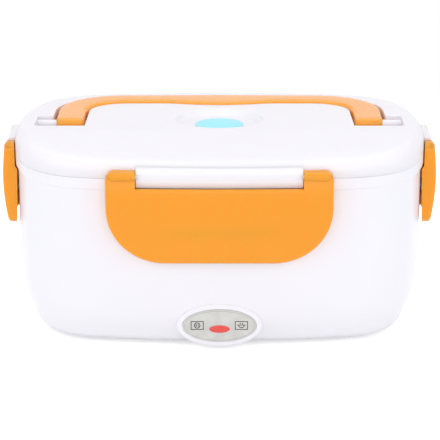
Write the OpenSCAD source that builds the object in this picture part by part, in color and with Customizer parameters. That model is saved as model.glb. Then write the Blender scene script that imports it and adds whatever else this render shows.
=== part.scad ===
// Electric lunch box: a heated base, a clip-on lid with a folding handle, and a lift-out food tray.
// Millimetres. X runs to the right, Y to the rear, Z up from the table under the feet.

/* [Plan outline] */
// Length of the rim from side to side
rim_l = 224; // [216:1:236]
// Depth of the rim from front to rear
rim_d = 154; // [148:1:164]
// Radius of the front and rear arcs
front_r = 450; // [380:5:600]
// Radius of the two side arcs
side_r = 130; // [124:1:145]
// Radius of the four corners
corner_r = 44; // [41:1:50]

/* [Base] */
// Height of the rim above the table
rim_z = 93.8; // [90:0.2:100]
// Height of the band round the rim
band_h = 5.9; // [4:0.1:8]
// How far the band stands out from the wall
band_out = 1.4; // [0.8:0.1:2]
// Height at which the wall starts to draw in
taper_z = 50; // [44:1:60]
// How far the wall draws in by its foot
taper_in = 3.8; // [2:0.1:5]
// Radius between the wall and the underside
base_round = 6; // [4:0.5:7]
// Wall thickness of the base
base_wall = 2.6; // [2.2:0.1:3]
// Width of the rim's upstanding lip
lip_w = 2.2; // [1.8:0.1:2.4]
// Depth of the ledge below the rim that carries the tray
ledge_drop = 2.6; // [2.4:0.1:3.2]
// Height of the cavity's floor above the table
floor_z = 24; // [22:0.5:28]
// Thickness of the cavity's floor
floor_t = 2.4; // [2:0.1:3]
// Height of the rubber feet
foot_h = 2; // [1.5:0.1:2.5]
// Radius of the rubber feet
foot_r = 6; // [4:0.5:7]
// Thickness of the bottom cover
cover_t = 2.2; // [2:0.1:2.6]

/* [Heater] */
// Length of the heating plate
plate_l = 124; // [110:1:130]
// Width of the heating plate
plate_w = 78; // [70:1:84]
// Thickness of the heating plate
plate_t = 1.2; // [0.8:0.1:1.6]
// Length of the ceramic heater
heater_l = 72; // [60:1:80]
// Width of the ceramic heater
heater_w = 28; // [24:1:34]
// Thickness of the steel clamp strap
strap_t = 1.6; // [1:0.1:2]
// Shank radius of the screws
screw_r = 1.5; // [1.2:0.1:1.8]

/* [Lid] */
// Height of the lid's crease above the base's rim
lid_h = 14.2; // [13.6:0.1:15.2]
// Place of the crease in front of the middle
crease_y = 28; // [25:1:32]
// Slope of the front ramp in degrees
ramp_slope = 5.6; // [4.5:0.1:6.5]
// Slope of the top towards the rear in degrees
top_slope = 2; // [1:0.1:2.5]
// Radius of the shoulder above the lid's skirt
shoulder_r = 6.4; // [5:0.1:7]
// Thickness of the lid's skirt
skirt_t = 2.5; // [2.2:0.1:3]
// Radius of the steam dish
dish_r = 24.2; // [20:0.2:25]
// Place of the steam dish behind the middle
dish_y = 2; // [0:0.5:4]
// Depth of the steam dish
dish_depth = 4; // [3:0.1:4.6]
// Radius of the silicone vent plug
plug_r = 13.2; // [11:0.2:15]
// Radius of the vent plug's stem
stem_r = 5; // [3:0.1:6]

/* [Handle] */
// Distance of each arm's outer side from the middle
arm_x = 90.1; // [88:0.1:92]
// Distance of the island's side from the middle
island_x = 73; // [70:0.5:76]
// Distance of the island's rear edge from the middle
island_y = 43.5; // [42:0.1:46]
// Distance of the handle's rear edge from the middle
handle_y = 59.5; // [57:0.5:60]
// Radius of the handle's outer corners
handle_r = 34; // [30:1:38]
// Thickness of the handle
handle_t = 6.8; // [5.6:0.1:7]
// Depth of the handle's top below the lid's crease
handle_drop = 1.4; // [1:0.1:2]
// How far the finger grip bulges into the island
grip_out = 5; // [3:0.5:7]
// Distance of the handle's pivot behind the middle
pivot_back = 5; // [4:0.1:8]
// Radius of the lid's two pivot studs
stud_r = 2.2; // [1.6:0.1:2.4]

/* [Latches] */
// Half the width of the front and rear latches
latch_w = 58.3; // [52:0.1:62]
// Height of their lower edge above the table
latch_z = 50; // [46:0.5:60]
// Radius of their two lower corners
latch_corner = 30; // [20:1:32]
// Half the length of the front and rear hinge lugs
lug_w = 42.5; // [34:0.1:46]
// How far the front and rear latches stand out from the outline
latch_out = 7; // [6:0.1:8]
// Half the width of the side latches
side_latch_w = 23.5; // [21:0.1:26]
// Height of the side latches' lower edge above the table
side_latch_z = 54.2; // [52:0.1:58]
// Radius of the side latches' two lower corners
side_latch_corner = 5; // [4:0.5:8]
// Half the length of the side hinge lugs
side_lug_w = 14.5; // [12:0.1:16]
// How far the side latches stand out from the outline
side_latch_out = 6.2; // [5.8:0.1:7]
// Height of the latches' hinge axis above the base's rim
hinge_up = 2.7; // [2.6:0.1:3.2]
// Distance of the hinge axis outside the outline
hinge_out = 2; // [1.9:0.1:2.2]
// Radius of the latches' horns round the axis
horn_r = 2.6; // [2.4:0.1:2.7]
// Radius of the lid's hinge pegs
peg_r = 1.3; // [1.1:0.1:1.4]
// Plan radius of the front and rear latches' faces
face_r = 900; // [600:10:1200]
// Plan radius of the side latches' faces
side_face_r = 300; // [200:10:500]
// Plate thickness of the latches
latch_t = 2.4; // [1.8:0.1:2.6]
// Height of the catch ledge's underside above the table
catch_z = 70; // [64:0.5:76]

/* [Food tray] */
// Wall thickness of the tray
tray_t = 1.6; // [1.2:0.1:2]
// Thickness of the tray's flange
tray_flange = 1.6; // [1.2:0.1:1.8]
// Height of the tray's underside above the table
tray_z = 26.8; // [25.5:0.1:30]
// Place of the divider right of the middle
divider_x = 20; // [10:1:26]
// Height of the divider's top above the table
divider_z = 78; // [50:1:84]
// Height of the side dish
dish_box_h = 40; // [30:1:42]
// Wall thickness of the side dish
dish_box_t = 1.5; // [1.2:0.1:2]

/* [Badge and inlet] */
// Height of the badge's centre above the table
badge_z = 14.2; // [14:0.1:15]
// Half the length of the badge
badge_a = 19.3; // [15:0.1:20]
// Half the height of the badge
badge_b = 8.9; // [7:0.1:9.2]
// Width of the rim round the badge
bezel_w = 3; // [2:0.1:3.1]
// Distance of the bezel's face from the middle
bezel_y = 75; // [74:0.1:77]
// Half the length of the lamp's lens
lens_a = 5.4; // [4:0.1:7]
// Half the height of the lamp's lens
lens_b = 2.1; // [1.6:0.1:2.8]
// Distance between the two inlet pins
pin_pitch = 8.6; // [8.6:0.1:8.6]
// Radius of the inlet pins
pin_r = 1.2; // [1.2:0.1:1.2]

/* [Hidden] */
$fn = 64;
sweep_fn = 720;

white = [0.97, 0.96, 0.98];
orange = [1, 0.64, 0.22];
eps = 0.01;

// Clearances
run_gap = 0.06;
seat_gap = 0.15;
soft_gap = 0.3;
part_gap = 0.8;

// Outline: eight tangent arcs, found from the four radii and the two lengths
out_a = rim_l / 2;
out_b = rim_d / 2;
front_cy = out_b - front_r;
side_cx = out_a - side_r;
reach_1 = front_r - corner_r;
reach_2 = side_r - corner_r;
span = sqrt(side_cx * side_cx + front_cy * front_cy);
along = (span * span + reach_1 * reach_1 - reach_2 * reach_2) / (2 * span);
aside = sqrt(reach_1 * reach_1 - along * along);
unit = [side_cx / span, -front_cy / span];
corner_x = unit[0] * along + unit[1] * aside;
corner_y = front_cy + unit[1] * along - unit[0] * aside;
front_turn = atan2(corner_y - front_cy, corner_x);
side_turn = atan2(corner_y, corner_x - side_cx);

// Each arc: centre, radius, first angle and turn
ARCS = [
    [side_cx, 0, side_r, -side_turn, 2 * side_turn],
    [corner_x, corner_y, corner_r, side_turn, front_turn - side_turn],
    [0, front_cy, front_r, front_turn, 180 - 2 * front_turn],
    [-corner_x, corner_y, corner_r, 180 - front_turn, front_turn - side_turn],
    [-side_cx, 0, side_r, 180 - side_turn, 2 * side_turn],
    [-corner_x, -corner_y, corner_r, 180 + side_turn, front_turn - side_turn],
    [0, -front_cy, front_r, 180 + front_turn, 180 - 2 * front_turn],
    [corner_x, -corner_y, corner_r, 360 - front_turn, front_turn - side_turn]
];

// Levels of the base
foot_top = foot_h + base_round;
ledge_z = rim_z - ledge_drop;
cover_top = foot_h + cover_t;
cover_in = 14;
floor_under = floor_z - floor_t;
cavity_round = 8;
boss_r = 3.8;
screw_gap = 0.05;
cover_screw_x = 52;
cover_screw_y = 46;
foot_x = 80;
foot_y = 34;
foot_sink = 0.6;

// Levels of the heater, from the plate down
plate_seat = floor_z + 0.8;
plate_top = plate_seat + plate_t;
plate_lap = 9;
window_r = 12;
heater_h = 5.8;
heater_z = plate_seat - heater_h;
strap_w = 16;
strap_z = heater_z - strap_t;
strap_screw_x = plate_l / 2 - 6;
fuse_r = 2.2;
fuse_x = 24;
wire_r = 0.9;

// Levels of the lid
lid_z = rim_z + lid_h;
handle_z = lid_z - handle_drop;
hinge_z = rim_z + hinge_up;
liner_z = rim_z + 2.8;
liner_t = 2;
gasket_out = skirt_t + 1.25;
gasket_in = gasket_out + 2.85;
hollow_z = liner_z + 1.4;
channel_z = handle_z - handle_t - 0.6;
dish_z = lid_z - (crease_y + dish_y) * tan(top_slope) - dish_depth;
dish_skin = 1.8;

// Handle
pivot_y = -pivot_back;
pivot_z = handle_z - handle_t / 2;
nose_r = handle_t / 2;
handle_gap = 1.6;
channel_gap = 1.8;
corner_in = 21;
pocket_y = 16.4;
pocket_x = arm_x + 12.9;
pocket_l = 26;
grip_half = 30;

// Latches and their hinges
lug_out = 4;
lug_top = hinge_z + 4;
lug_foot = rim_z - 3.4;
lug_gap = 0.4;
lug_side_gap = 0.5;
bulge_z = 80;
bulge_r = 125;
bulge_top_r = 82;
peg_l = 4;
horn_gap = 0.5;
notch_in_z = lug_foot + 0.8;
notch_out_z = lug_foot + 0.4;
hollow_top = rim_z - 6.3;
band_gap = 0.7;
skirt_gap = 1.75;
front_ledge = lug_w - 10;
side_ledge = side_lug_w - 3;
catch_out = 3;
catch_h = 3;
hook_gap = 0.25;
side_skirt = 2.2;

// Badge
bezel_a = badge_a + bezel_w;
bezel_b = badge_b + bezel_w;
bezel_step = 0.5;
lens_drop = 1.8;
inlet_z = 14.2;
inlet_depth = 12;
inlet_floor = 1.8;
inlet_back = bezel_y - inlet_depth - inlet_floor;
pin_root_r = pin_r + 0.4;
pin_tail = 3;
lamp_leg = 15.6;
lamp_pin = 1.2;

// Wires: the lines that they run along
wire_x = 30;
wire_y = 30;
joint_y = 11;
lamp_x = 12;

// Inset of the base's outer wall below the band, and of its cavity
function wall_in(z) = band_out + (z >= taper_z ? 0
    : taper_in * pow((taper_z - z) / (taper_z - foot_top), 2));
function cavity_in(z) = wall_in(z) + base_wall;

// Points of an arc, of an ellipse and of a rectangle with round corners
function arc_pts(x, y, r, a0, a1, n) = [for (i = [0:n]) let (a = a0 + (a1 - a0) * i / n)
    [x + r * cos(a), y + r * sin(a)]];
function ellipse_pts(a, b, n = 56) = [for (i = [0:n - 1]) [a * cos(360 * i / n), b * sin(360 * i / n)]];
function outline_pts(inset, n = 8) = [for (arc = ARCS, i = [0:n - 1]) let (a = arc[3] + arc[4] * i / n)
    [arc[0] + (arc[2] - inset) * cos(a), arc[1] + (arc[2] - inset) * sin(a)]];
function round_pts(w, d, r) = concat(
    arc_pts(w / 2 - r, d / 2 - r, r, 0, 90, 6), arc_pts(r - w / 2, d / 2 - r, r, 90, 180, 6),
    arc_pts(r - w / 2, r - d / 2, r, 180, 270, 6), arc_pts(w / 2 - r, r - d / 2, r, 270, 360, 6));

// Slab with the outline's shape in short straight steps, set in from it
module slab(inset, z0, z1) {
    plate(outline_pts(inset), z0, z1);
}

// Solid through outlines of the same number of points, one at each level
module skin(levels) {
    rings = [for (level = levels) [for (p = outline_pts(level[0])) [p[0], p[1], level[1]]]];
    side = len(rings[0]);
    last = len(rings) - 1;
    polyhedron([for (ring = rings, p = ring) p], concat(
        [[for (k = [0:side - 1]) k]],
        [for (i = [0:last - 1], k = [0:side - 1]) let (n = (k + 1) % side, a = i * side, b = a + side)
            [a + k, b + k, b + n, a + n]],
        [[for (k = [side - 1:-1:0]) last * side + k]]));
}

// Ring with the outline's shape, between two insets
module ring(inset_out, inset_in, z0, z1) {
    difference() {
        slab(inset_out, z0, z1);
        slab(inset_in, z0 - 1, z1 + 1);
    }
}

module plate(points, z0, z1) {
    translate([0, 0, z0])
        linear_extrude(z1 - z0)
            polygon(points);
}

// Upright oval on the front face, its back on y = -from and its face on y = -to
module front_oval(a, b, z, from, to) {
    translate([0, -from, z])
        rotate([90, 0, 0])
            linear_extrude(to - from)
                polygon(ellipse_pts(a, b));
}

// The oval rim that the badge and the inlet sit in, with a stepped edge
module bezel() {
    front_oval(bezel_a, bezel_b, badge_z, bezel_y - 12, bezel_y - bezel_step);
    front_oval(bezel_a - bezel_step, bezel_b - bezel_step, badge_z, bezel_y - 12, bezel_y);
}

// Part of the wall that lies behind the outline's front arc, as a revolve about that arc's centre
module front_sweep(arc_r, reach, half) {
    turn = asin(half / arc_r);
    translate([0, arc_r - reach, 0])
        rotate(-90 - turn)
            rotate_extrude(angle = 2 * turn, $fn = sweep_fn)
                translate([arc_r, 0])
                    children();
}

// Ledge that a latch's hook goes under
module catch_ledge(arc_r, reach, half) {
    tip = catch_out - band_out;
    front_sweep(arc_r, reach, half)
        polygon([[-band_out - 1, catch_z], [tip, catch_z], [tip, catch_z + 1],
            [-band_out - 1, catch_z + catch_h + 1.6]]);
}

// Levels of a round bottom edge: the inset is counted from the wall outside it
function round_levels(wall, z0, r, a0, a1, n) = [for (p = arc_pts(0, z0 + r, r, a0, a1, n)) [wall + r - p[0], p[1]]];

BASE_LEVELS = concat(
    round_levels(wall_in(foot_top), foot_h, base_round, -90, -15, 5),
    [for (i = [0:6]) let (z = foot_top + (taper_z - foot_top) * i / 6) [wall_in(z), z]],
    [[band_out, rim_z - band_h - 0.5], [0, rim_z - band_h], [0, rim_z]]);
CAVITY_LEVELS = concat(
    round_levels(cavity_in(floor_z + cavity_round), floor_z, cavity_round, -90, 0, 5),
    [for (i = [1:4]) let (z = floor_z + cavity_round + (taper_z - floor_z - cavity_round) * i / 4)
        [cavity_in(z), z]],
    [[cavity_in(ledge_z), rim_z]]);
HEATER_ROOM = [
    [cover_in + 2.5, foot_h],
    [cover_in + 2.5, cover_top + 1.6],
    [cavity_in(foot_top) + 0.6, foot_top + 1],
    [cavity_in(floor_under), floor_under]
];

module base_shell() {
    color(white)
    difference() {
        union() {
            difference() {
                skin(BASE_LEVELS);
                skin(CAVITY_LEVELS);
                skin(HEATER_ROOM);
                slab(cover_in, foot_h - 1, cover_top);
                slab(lip_w, ledge_z, rim_z + 1);
            }
            for (m = [0, 1])
                mirror([0, m, 0]) {
                    catch_ledge(front_r, out_b, front_ledge);
                    bezel_back();
                }
            for (turn = [90, 270])
                rotate(turn)
                    catch_ledge(side_r, out_a, side_ledge);
            for (x = [-1, 1], y = [-1, 1])
                translate([x * cover_screw_x, y * cover_screw_y, cover_top])
                    cylinder(r = boss_r, h = floor_under - cover_top + 1);
            for (x = [-1, 1])
                translate([x * strap_screw_x, 0, heater_z])
                    cylinder(r = boss_r, h = floor_under - heater_z + 1);
        }
        // Window under the heating plate
        plate(round_pts(plate_l - 2 * plate_lap - 4, plate_w - 2 * plate_lap - 4, window_r),
            floor_under - 1, floor_z + 1);
        // Pilot holes for the screws
        for (x = [-1, 1], y = [-1, 1])
            translate([x * cover_screw_x, y * cover_screw_y, cover_top - 1])
                cylinder(r = screw_r + screw_gap, h = 13);
        for (x = [-1, 1])
            translate([x * strap_screw_x, 0, heater_z - 1])
                cylinder(r = screw_r + screw_gap, h = 5);
        // Badge recess and the lamp's hole behind it
        front_oval(badge_a + seat_gap, badge_b + seat_gap, badge_z, bezel_y - 0.5, bezel_y + 1);
        translate([0, -bezel_y + 14, badge_z - lens_drop])
            rotate([90, 0, 0])
                cylinder(r = 2.65, h = 15);
        // Inlet opening and its recess
        mirror([0, 1, 0])
            front_oval(15 + seat_gap, 8.5 + seat_gap, inlet_z, bezel_y - 1.2, bezel_y + 1);
        translate([-10 - seat_gap, bezel_y - 14, inlet_z - 5.5 - seat_gap])
            cube([20 + 2 * seat_gap, 16, 11 + 2 * seat_gap]);
    }
}

// Bezel and the pad behind it that thickens the wall
module bezel_back() {
    intersection() {
        bezel();
        translate([-60, -bezel_y - 5, foot_h])
            cube([120, 40, 60]);
    }
}

module bottom_cover() {
    color(white)
    difference() {
        slab(cover_in + 0.2, foot_h, cover_top);
        for (x = [-1, 1], y = [-1, 1]) {
            translate([x * foot_x, y * foot_y, foot_h - 1])
                cylinder(r = foot_r + seat_gap, h = 1 + foot_sink);
            translate([x * cover_screw_x, y * cover_screw_y, foot_h - 1]) {
                cylinder(r = screw_r + 0.2, h = cover_t + 2);
                cylinder(r = 3.2, h = 2);
            }
        }
        // Vent slots under the heater
        for (x = [-24:8:24])
            translate([x - 1, -16, foot_h - 1])
                cube([2, 32, cover_t + 2]);
    }
}

module rubber_feet() {
    color("dimgray")
    for (x = [-1, 1], y = [-1, 1])
        translate([x * foot_x, y * foot_y, 0]) {
            cylinder(r1 = foot_r - 0.6, r2 = foot_r, h = 0.8);
            translate([0, 0, 0.8])
                cylinder(r = foot_r, h = foot_h + foot_sink - 0.8);
        }
}

// Pan-head screw standing on its head, with a cross slot
module screw(head_r, head_h, shank) {
    difference() {
        union() {
            cylinder(r1 = head_r - 0.5, r2 = head_r, h = 0.5);
            translate([0, 0, 0.5])
                cylinder(r = head_r, h = head_h - 0.5);
            cylinder(r = screw_r, h = head_h + shank);
        }
        for (turn = [0, 90])
            rotate(turn)
                translate([-0.4, -head_r * 0.6, -1])
                    cube([0.8, head_r * 1.2, 1.7]);
    }
}

module cover_screws() {
    color("silver")
    for (x = [-1, 1], y = [-1, 1])
        translate([x * cover_screw_x, y * cover_screw_y, foot_h - 0.6])
            screw(2.9, 1.6, 10);
}

module heating_plate() {
    color("lightsteelblue") {
        plate(round_pts(plate_l, plate_w, 20), plate_seat, plate_top);
        difference() {
            plate(round_pts(plate_l - 8, plate_w - 8, 17), plate_top - eps, plate_top + 0.4);
            plate(round_pts(plate_l - 20, plate_w - 20, 13), plate_top - 1, plate_top + 1);
        }
    }
}

module plate_gasket() {
    color("tomato")
    difference() {
        plate(round_pts(plate_l - 1, plate_w - 1, 19.5), floor_z, plate_seat);
        plate(round_pts(plate_l - 2 * plate_lap, plate_w - 2 * plate_lap, window_r), floor_z - 1, plate_seat + 1);
    }
}

module ceramic_heater() {
    color("gainsboro")
    plate(round_pts(heater_l, heater_w, 3), heater_z, plate_seat);
}

module heater_clamp() {
    color("silver")
    difference() {
        union() {
            translate([-strap_screw_x - 6, -strap_w / 2, strap_z])
                cube([2 * strap_screw_x + 12, strap_w, strap_t]);
            for (y = [-1, 1])
                translate([-heater_l / 2 + 4, y * (strap_w / 2 - 0.6) - 0.6, strap_z - 2])
                    cube([heater_l - 8, 1.2, 2 + eps]);
        }
        for (x = [-1, 1])
            translate([x * strap_screw_x, 0, strap_z - 1])
                cylinder(r = screw_r + 0.2, h = strap_t + 2);
    }
}

module clamp_screws() {
    color("silver")
    for (x = [-1, 1])
        translate([x * strap_screw_x, 0, strap_z - 1.8])
            screw(2.8, 1.8, 5);
}

module thermal_fuse() {
    color("whitesmoke")
    translate([fuse_x, 0, strap_z - fuse_r - run_gap])
        rotate([0, 90, 0]) {
            cylinder(r = fuse_r, h = 14, center = true);
            cylinder(r = 0.5, h = 22, center = true);
        }
}

module power_inlet() {
    color("whitesmoke")
    difference() {
        union() {
            mirror([0, 1, 0])
                front_oval(15, 8.5, inlet_z, bezel_y - 1.2, bezel_y + 0.3);
            translate([-10, inlet_back, inlet_z - 5.5])
                cube([20, bezel_y - inlet_back - 1, 11]);
        }
        for (x = [-1, 1])
            translate([x * pin_pitch / 2, inlet_back + inlet_floor, inlet_z])
                rotate([-90, 0, 0])
                    cylinder(r = 3.9, h = 20);
        translate([-pin_pitch / 2, inlet_back + inlet_floor, inlet_z - 3.6])
            cube([pin_pitch, 20, 7.2]);
        for (x = [-1, 1])
            translate([x * pin_pitch / 2, inlet_back - 1, inlet_z])
                rotate([-90, 0, 0])
                    cylinder(r = pin_root_r + screw_gap, h = 5);
    }
}

module inlet_pins() {
    color("silver")
    for (x = [-1, 1])
        translate([x * pin_pitch / 2, 0, inlet_z])
            rotate([-90, 0, 0]) {
                translate([0, 0, inlet_back - pin_tail])
                    cylinder(r = pin_r, h = inlet_depth + inlet_floor);
                translate([0, 0, inlet_back - eps])
                    cylinder(r = pin_root_r, h = inlet_floor + eps);
                translate([0, 0, inlet_back - 1.4])
                    cylinder(r = 2.2, h = 1.4);
            }
}

module indicator_lamp() {
    color([1, 0.6, 0.5, 0.8])
    translate([0, -bezel_y + 0.6, badge_z - lens_drop])
        rotate([-90, 0, 0]) {
            cylinder(r = 2.5, h = 11);
            for (x = [-1, 1])
                translate([x * lamp_pin, 0, 10])
                    cylinder(r = 0.4, h = lamp_leg - 10.6);
        }
}

module lamp_lens() {
    color([0.95, 0.25, 0.18])
    front_oval(lens_a, lens_b, badge_z - lens_drop, bezel_y - 0.5 + eps, bezel_y + 0.5);
}

module badge_plate() {
    color([0.8, 0.81, 0.79])
    difference() {
        front_oval(badge_a, badge_b, badge_z, bezel_y - 0.5, bezel_y + 0.1);
        front_oval(lens_a + 0.1, lens_b + 0.1, badge_z - lens_drop, bezel_y - 1, bezel_y + 1);
    }
}

// Wire as straight runs along the axes with round bends, through a list of points
module wire(points) {
    for (i = [0:len(points) - 2]) {
        p = points[i];
        d = points[i + 1] - p;
        run = norm(d);
        translate(p)
            rotate([0, acos(d[2] / run), atan2(d[1], d[0])])
                cylinder(r = wire_r, h = run);
    }
    for (i = [1:len(points) - 2])
        translate(points[i])
            sphere(r = wire_r);
}

module wires() {
    pin = pin_pitch / 2;
    lead = inlet_back - pin_tail;
    lamp_y = lamp_leg - bezel_y;
    lamp_z = badge_z - lens_drop;
    color("firebrick")
    for (x = [-1, 1]) {
        wire([[x * pin, lead, inlet_z], [x * pin, wire_y, inlet_z], [x * wire_x, wire_y, inlet_z],
            [x * wire_x, joint_y, inlet_z], [x * wire_x, joint_y, heater_z]]);
        wire([[x * lamp_pin, lamp_y, lamp_z], [x * lamp_pin, -wire_y, lamp_z], [x * lamp_x, -wire_y, lamp_z],
            [x * lamp_x, -joint_y, lamp_z], [x * lamp_x, -joint_y, heater_z]]);
    }
}

// Channel and handle outlines, seen from above, with y to the rear
function bulge(x) = abs(x) >= grip_half ? 0 : grip_out * pow(cos(90 * abs(x) / grip_half), 1.2);
function outer_side(g, y0) = concat([[arm_x + g, -y0]],
    arc_pts(arm_x - handle_r, handle_y - handle_r, handle_r + g, 0, 90, 10), [[0, handle_y + g + 1]]);
function inner_side(g, y0) = concat([[island_x + g, -y0]],
    arc_pts(island_x - corner_in, island_y - corner_in, corner_in + g, 0, 90, 6),
    [for (x = [grip_half:-3:0]) [x, island_y + g - bulge(x)]]);
function mirrored(p) = concat(p, [for (i = [len(p) - 2:-1:0]) [-p[i][0], p[i][1]]]);

// Points of the handle's ring at one station: inner point, outer point, half height
function ring_pts(a, b, h) = let (w = norm(b - a), u = (b - a) / w, k = min(1, h / nose_r),
    top_in = 2.6 * k, top_out = 1.6 * k, low = 1.2 * k)
    [for (q = [[low * 0.3, -h + low * 0.3], [low, -h], [w - low, -h], [w - low * 0.3, -h + low * 0.3],
        [w, -h + low], [w, h - top_out], [w - top_out * 0.3, h - top_out * 0.3], [w - top_out, h],
        [top_in, h], [top_in * 0.3, h - top_in * 0.3], [0, h - top_in], [0, -h + low]])
        [a[0] + u[0] * q[0], a[1] + u[1] * q[0], pivot_z + q[1]]];

// Stations from the right arm's nose round to the middle of the bar: [inner, outer, half height]
nose_steps = 4;
arm_steps = 3;
turn_steps = 9;
bar_steps = 9;
arm_end = island_y - corner_in;
NOSE = [for (i = [1:nose_steps]) let (a = 90 * (1 - i / (nose_steps + 0.25)))
    [[island_x + handle_gap, -pivot_y - nose_r * sin(a)], [arm_x - 2.4 * (1 - cos(a)), -pivot_y - nose_r * sin(a)],
        nose_r * cos(a)]];
ARM = [for (i = [0:arm_steps - 1]) let (t = i / arm_steps)
    [[island_x + handle_gap, -pivot_y + (arm_end + pivot_y) * t],
        [arm_x, -pivot_y + (handle_y - handle_r + pivot_y) * t], nose_r]];
TURN = [for (i = [0:turn_steps]) let (a = 90 * i / turn_steps)
    [[island_x - corner_in + (corner_in + handle_gap) * cos(a), arm_end + (corner_in + handle_gap) * sin(a)],
        [arm_x - handle_r + handle_r * cos(a), handle_y - handle_r + handle_r * sin(a)], nose_r]];
BAR = [for (i = [1:bar_steps]) let (t = 1 - i / bar_steps, xi = (island_x - corner_in) * t, xo = (arm_x - handle_r) * t)
    [[xi, island_y + handle_gap - bulge(xi)], [xo, handle_y + 1 - t], nose_r]];
HALF = concat(NOSE, ARM, TURN, BAR);
RINGS = concat([for (s = HALF) ring_pts(s[0], s[1], s[2])],
    [for (i = [len(HALF) - 2:-1:0]) [for (p = ring_pts(HALF[i][0], HALF[i][1], HALF[i][2])) [-p[0], p[1], p[2]]]]);

module handle() {
    side = len(RINGS[0]);
    last = len(RINGS) - 1;
    points = [for (r = RINGS, p = r) p];
    faces = concat(
        [[for (k = [0:side - 1]) k]],
        [for (i = [0:last - 1], k = [0:side - 1], t = [0, 1]) let (n = (k + 1) % side, a = i * side, b = a + side)
            t == 0 ? [a + k, b + k, a + n] : [b + k, b + n, a + n]],
        [[for (k = [side - 1:-1:0]) last * side + k]]);
    color(orange)
    difference() {
        polyhedron(points, faces);
        for (x = [-1, 1])
            translate([x * (arm_x - 5), -pivot_y, pivot_z])
                rotate([0, x * 90, 0])
                    cylinder(r = stud_r + run_gap, h = 10);
    }
}

// Levels of the lid's skin from the rim up: how far in, and how high
shoulder_z = lid_z - 4.6 - shoulder_r;
LID_LEVELS = concat(
    [[0, rim_z]],
    [for (p = arc_pts(0, shoulder_z, shoulder_r, 0, 72, 5)) [shoulder_r - p[0], p[1]]],
    [[12, lid_z - 3.5], [13, lid_z - 2.4], [15.5, lid_z - 1], [19, lid_z + 0.2]]);

// Everything under the crease: the front ramp and the top that falls to the rear
module under_planes() {
    far = rim_d;
    rotate([90, 0, 90])
        linear_extrude(rim_l + 40, center = true)
            polygon([[-far, rim_z - 20], [-far, lid_z - (far - crease_y) * tan(ramp_slope)],
                [-crease_y, lid_z], [far, lid_z - (far + crease_y) * tan(top_slope)], [far, rim_z - 20]]);
}

// Bar that carries a latch on the peg at each end, with a lip in front of the base's band
module lug(face, reach, half) {
    intersection() {
        front_sweep(face, reach, half + 3)
            polygon(concat(
                [[lug_gap, rim_z], [lug_gap, lug_foot], [lug_out - 2.4, lug_foot], [lug_out, lug_foot + 3.2]],
                arc_pts(lug_out - 3, lug_top - 3, 3, 0, 90, 5),
                [[-5, lug_top], [-5, liner_z + 0.6], [0.5 - skirt_t, liner_z + 0.6], [0.5 - skirt_t, rim_z]]));
        translate([-half, -reach - 20, lug_foot - 1])
            cube([2 * half, 40, 20]);
    }
    for (x = [-1, 1])
        translate([x * (half - 1), -reach - hinge_out, hinge_z])
            rotate([0, x * 90, 0])
                cylinder(r = peg_r, h = peg_l + 1);
}

// Room in the lid's shoulder for the latch's turning horns
module horn_room(reach, half, end) {
    for (x = [-1, 1])
        translate([x * (half - eps), -reach - hinge_out, hinge_z])
            rotate([0, x * 90, 0])
                cylinder(r = horn_r + horn_gap, h = end - half + 0.4);
}

module lid_shell() {
    color(white)
    difference() {
        union() {
            difference() {
                intersection() {
                    skin(LID_LEVELS);
                    under_planes();
                }
                for (turn = [0, 180])
                    rotate(turn)
                        horn_room(out_b, lug_w, latch_w);
                for (turn = [90, 270])
                    rotate(turn)
                        horn_room(out_a, side_lug_w, side_latch_w);
                // Handle channel round the island
                difference() {
                    plate(mirrored(outer_side(channel_gap, pocket_y)), channel_z, lid_z + 2);
                    plate(mirrored(inner_side(0, pocket_y + 1)), channel_z - 1, lid_z + 3);
                }
                // Pockets for the pivot studs
                for (x = [-1, 1])
                    translate([x * (arm_x + pocket_x) / 2 - (pocket_x - arm_x) / 2, -pocket_y, channel_z])
                        cube([pocket_x - arm_x, pocket_l, 20]);
            }
            for (turn = [0, 180])
                rotate(turn)
                    lug(face_r, out_b, lug_w);
            for (turn = [90, 270])
                rotate(turn)
                    lug(side_face_r, out_a, side_lug_w);
            // Pivot studs for the handle
            for (x = [-1, 1])
                translate([x * (pocket_x + 1), -pivot_y, pivot_z])
                    rotate([0, -x * 90, 0])
                        cylinder(r = stud_r, h = pocket_x + 1 - arm_x + 4.5);
        }
        // Steam dish and the plug's hole
        translate([0, dish_y, dish_z])
            cylinder(r1 = dish_r - 4, r2 = dish_r, h = dish_depth);
        translate([0, dish_y, dish_z + dish_depth - eps])
            cylinder(r = dish_r, h = 5);
        translate([0, dish_y, liner_z])
            cylinder(r = stem_r + run_gap, h = 20);
        // Seat for the liner, and the hollow above it
        slab(skirt_t, rim_z - 1, liner_z);
        slab(skirt_t + 4.5, liner_z - 1, hollow_z);
        translate([-island_x - 8, -out_b + 20, hollow_z - 1])
            cube([2 * island_x + 16, out_b - 20 - pocket_y - 2.6, lid_z - hollow_z - 5]);
        difference() {
            plate(mirrored(inner_side(-3, pocket_y + 3)), hollow_z - 1, lid_z - 4.6);
            translate([0, dish_y, dish_z - dish_skin])
                cylinder(r = dish_r + 2, h = 10);
        }
    }
}

module lid_liner() {
    low = liner_z - liner_t;
    color(white)
    difference() {
        union() {
            slab(skirt_t + seat_gap, low, liner_z);
            ring(skirt_t + seat_gap, gasket_out - seat_gap, low - 1.3, low + eps);
            ring(gasket_in + soft_gap, gasket_in + 1.5, low - 4.4, low + eps);
        }
        for (turn = [0:60:300])
            translate([0, dish_y, low - 1])
                rotate(turn)
                    translate([3, 0, 0])
                        cylinder(r = 1, h = liner_t + 2);
    }
}

module lid_gasket() {
    color("tomato")
    ring(gasket_out, gasket_in, ledge_z + tray_flange + soft_gap, liner_z - liner_t);
}

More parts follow.
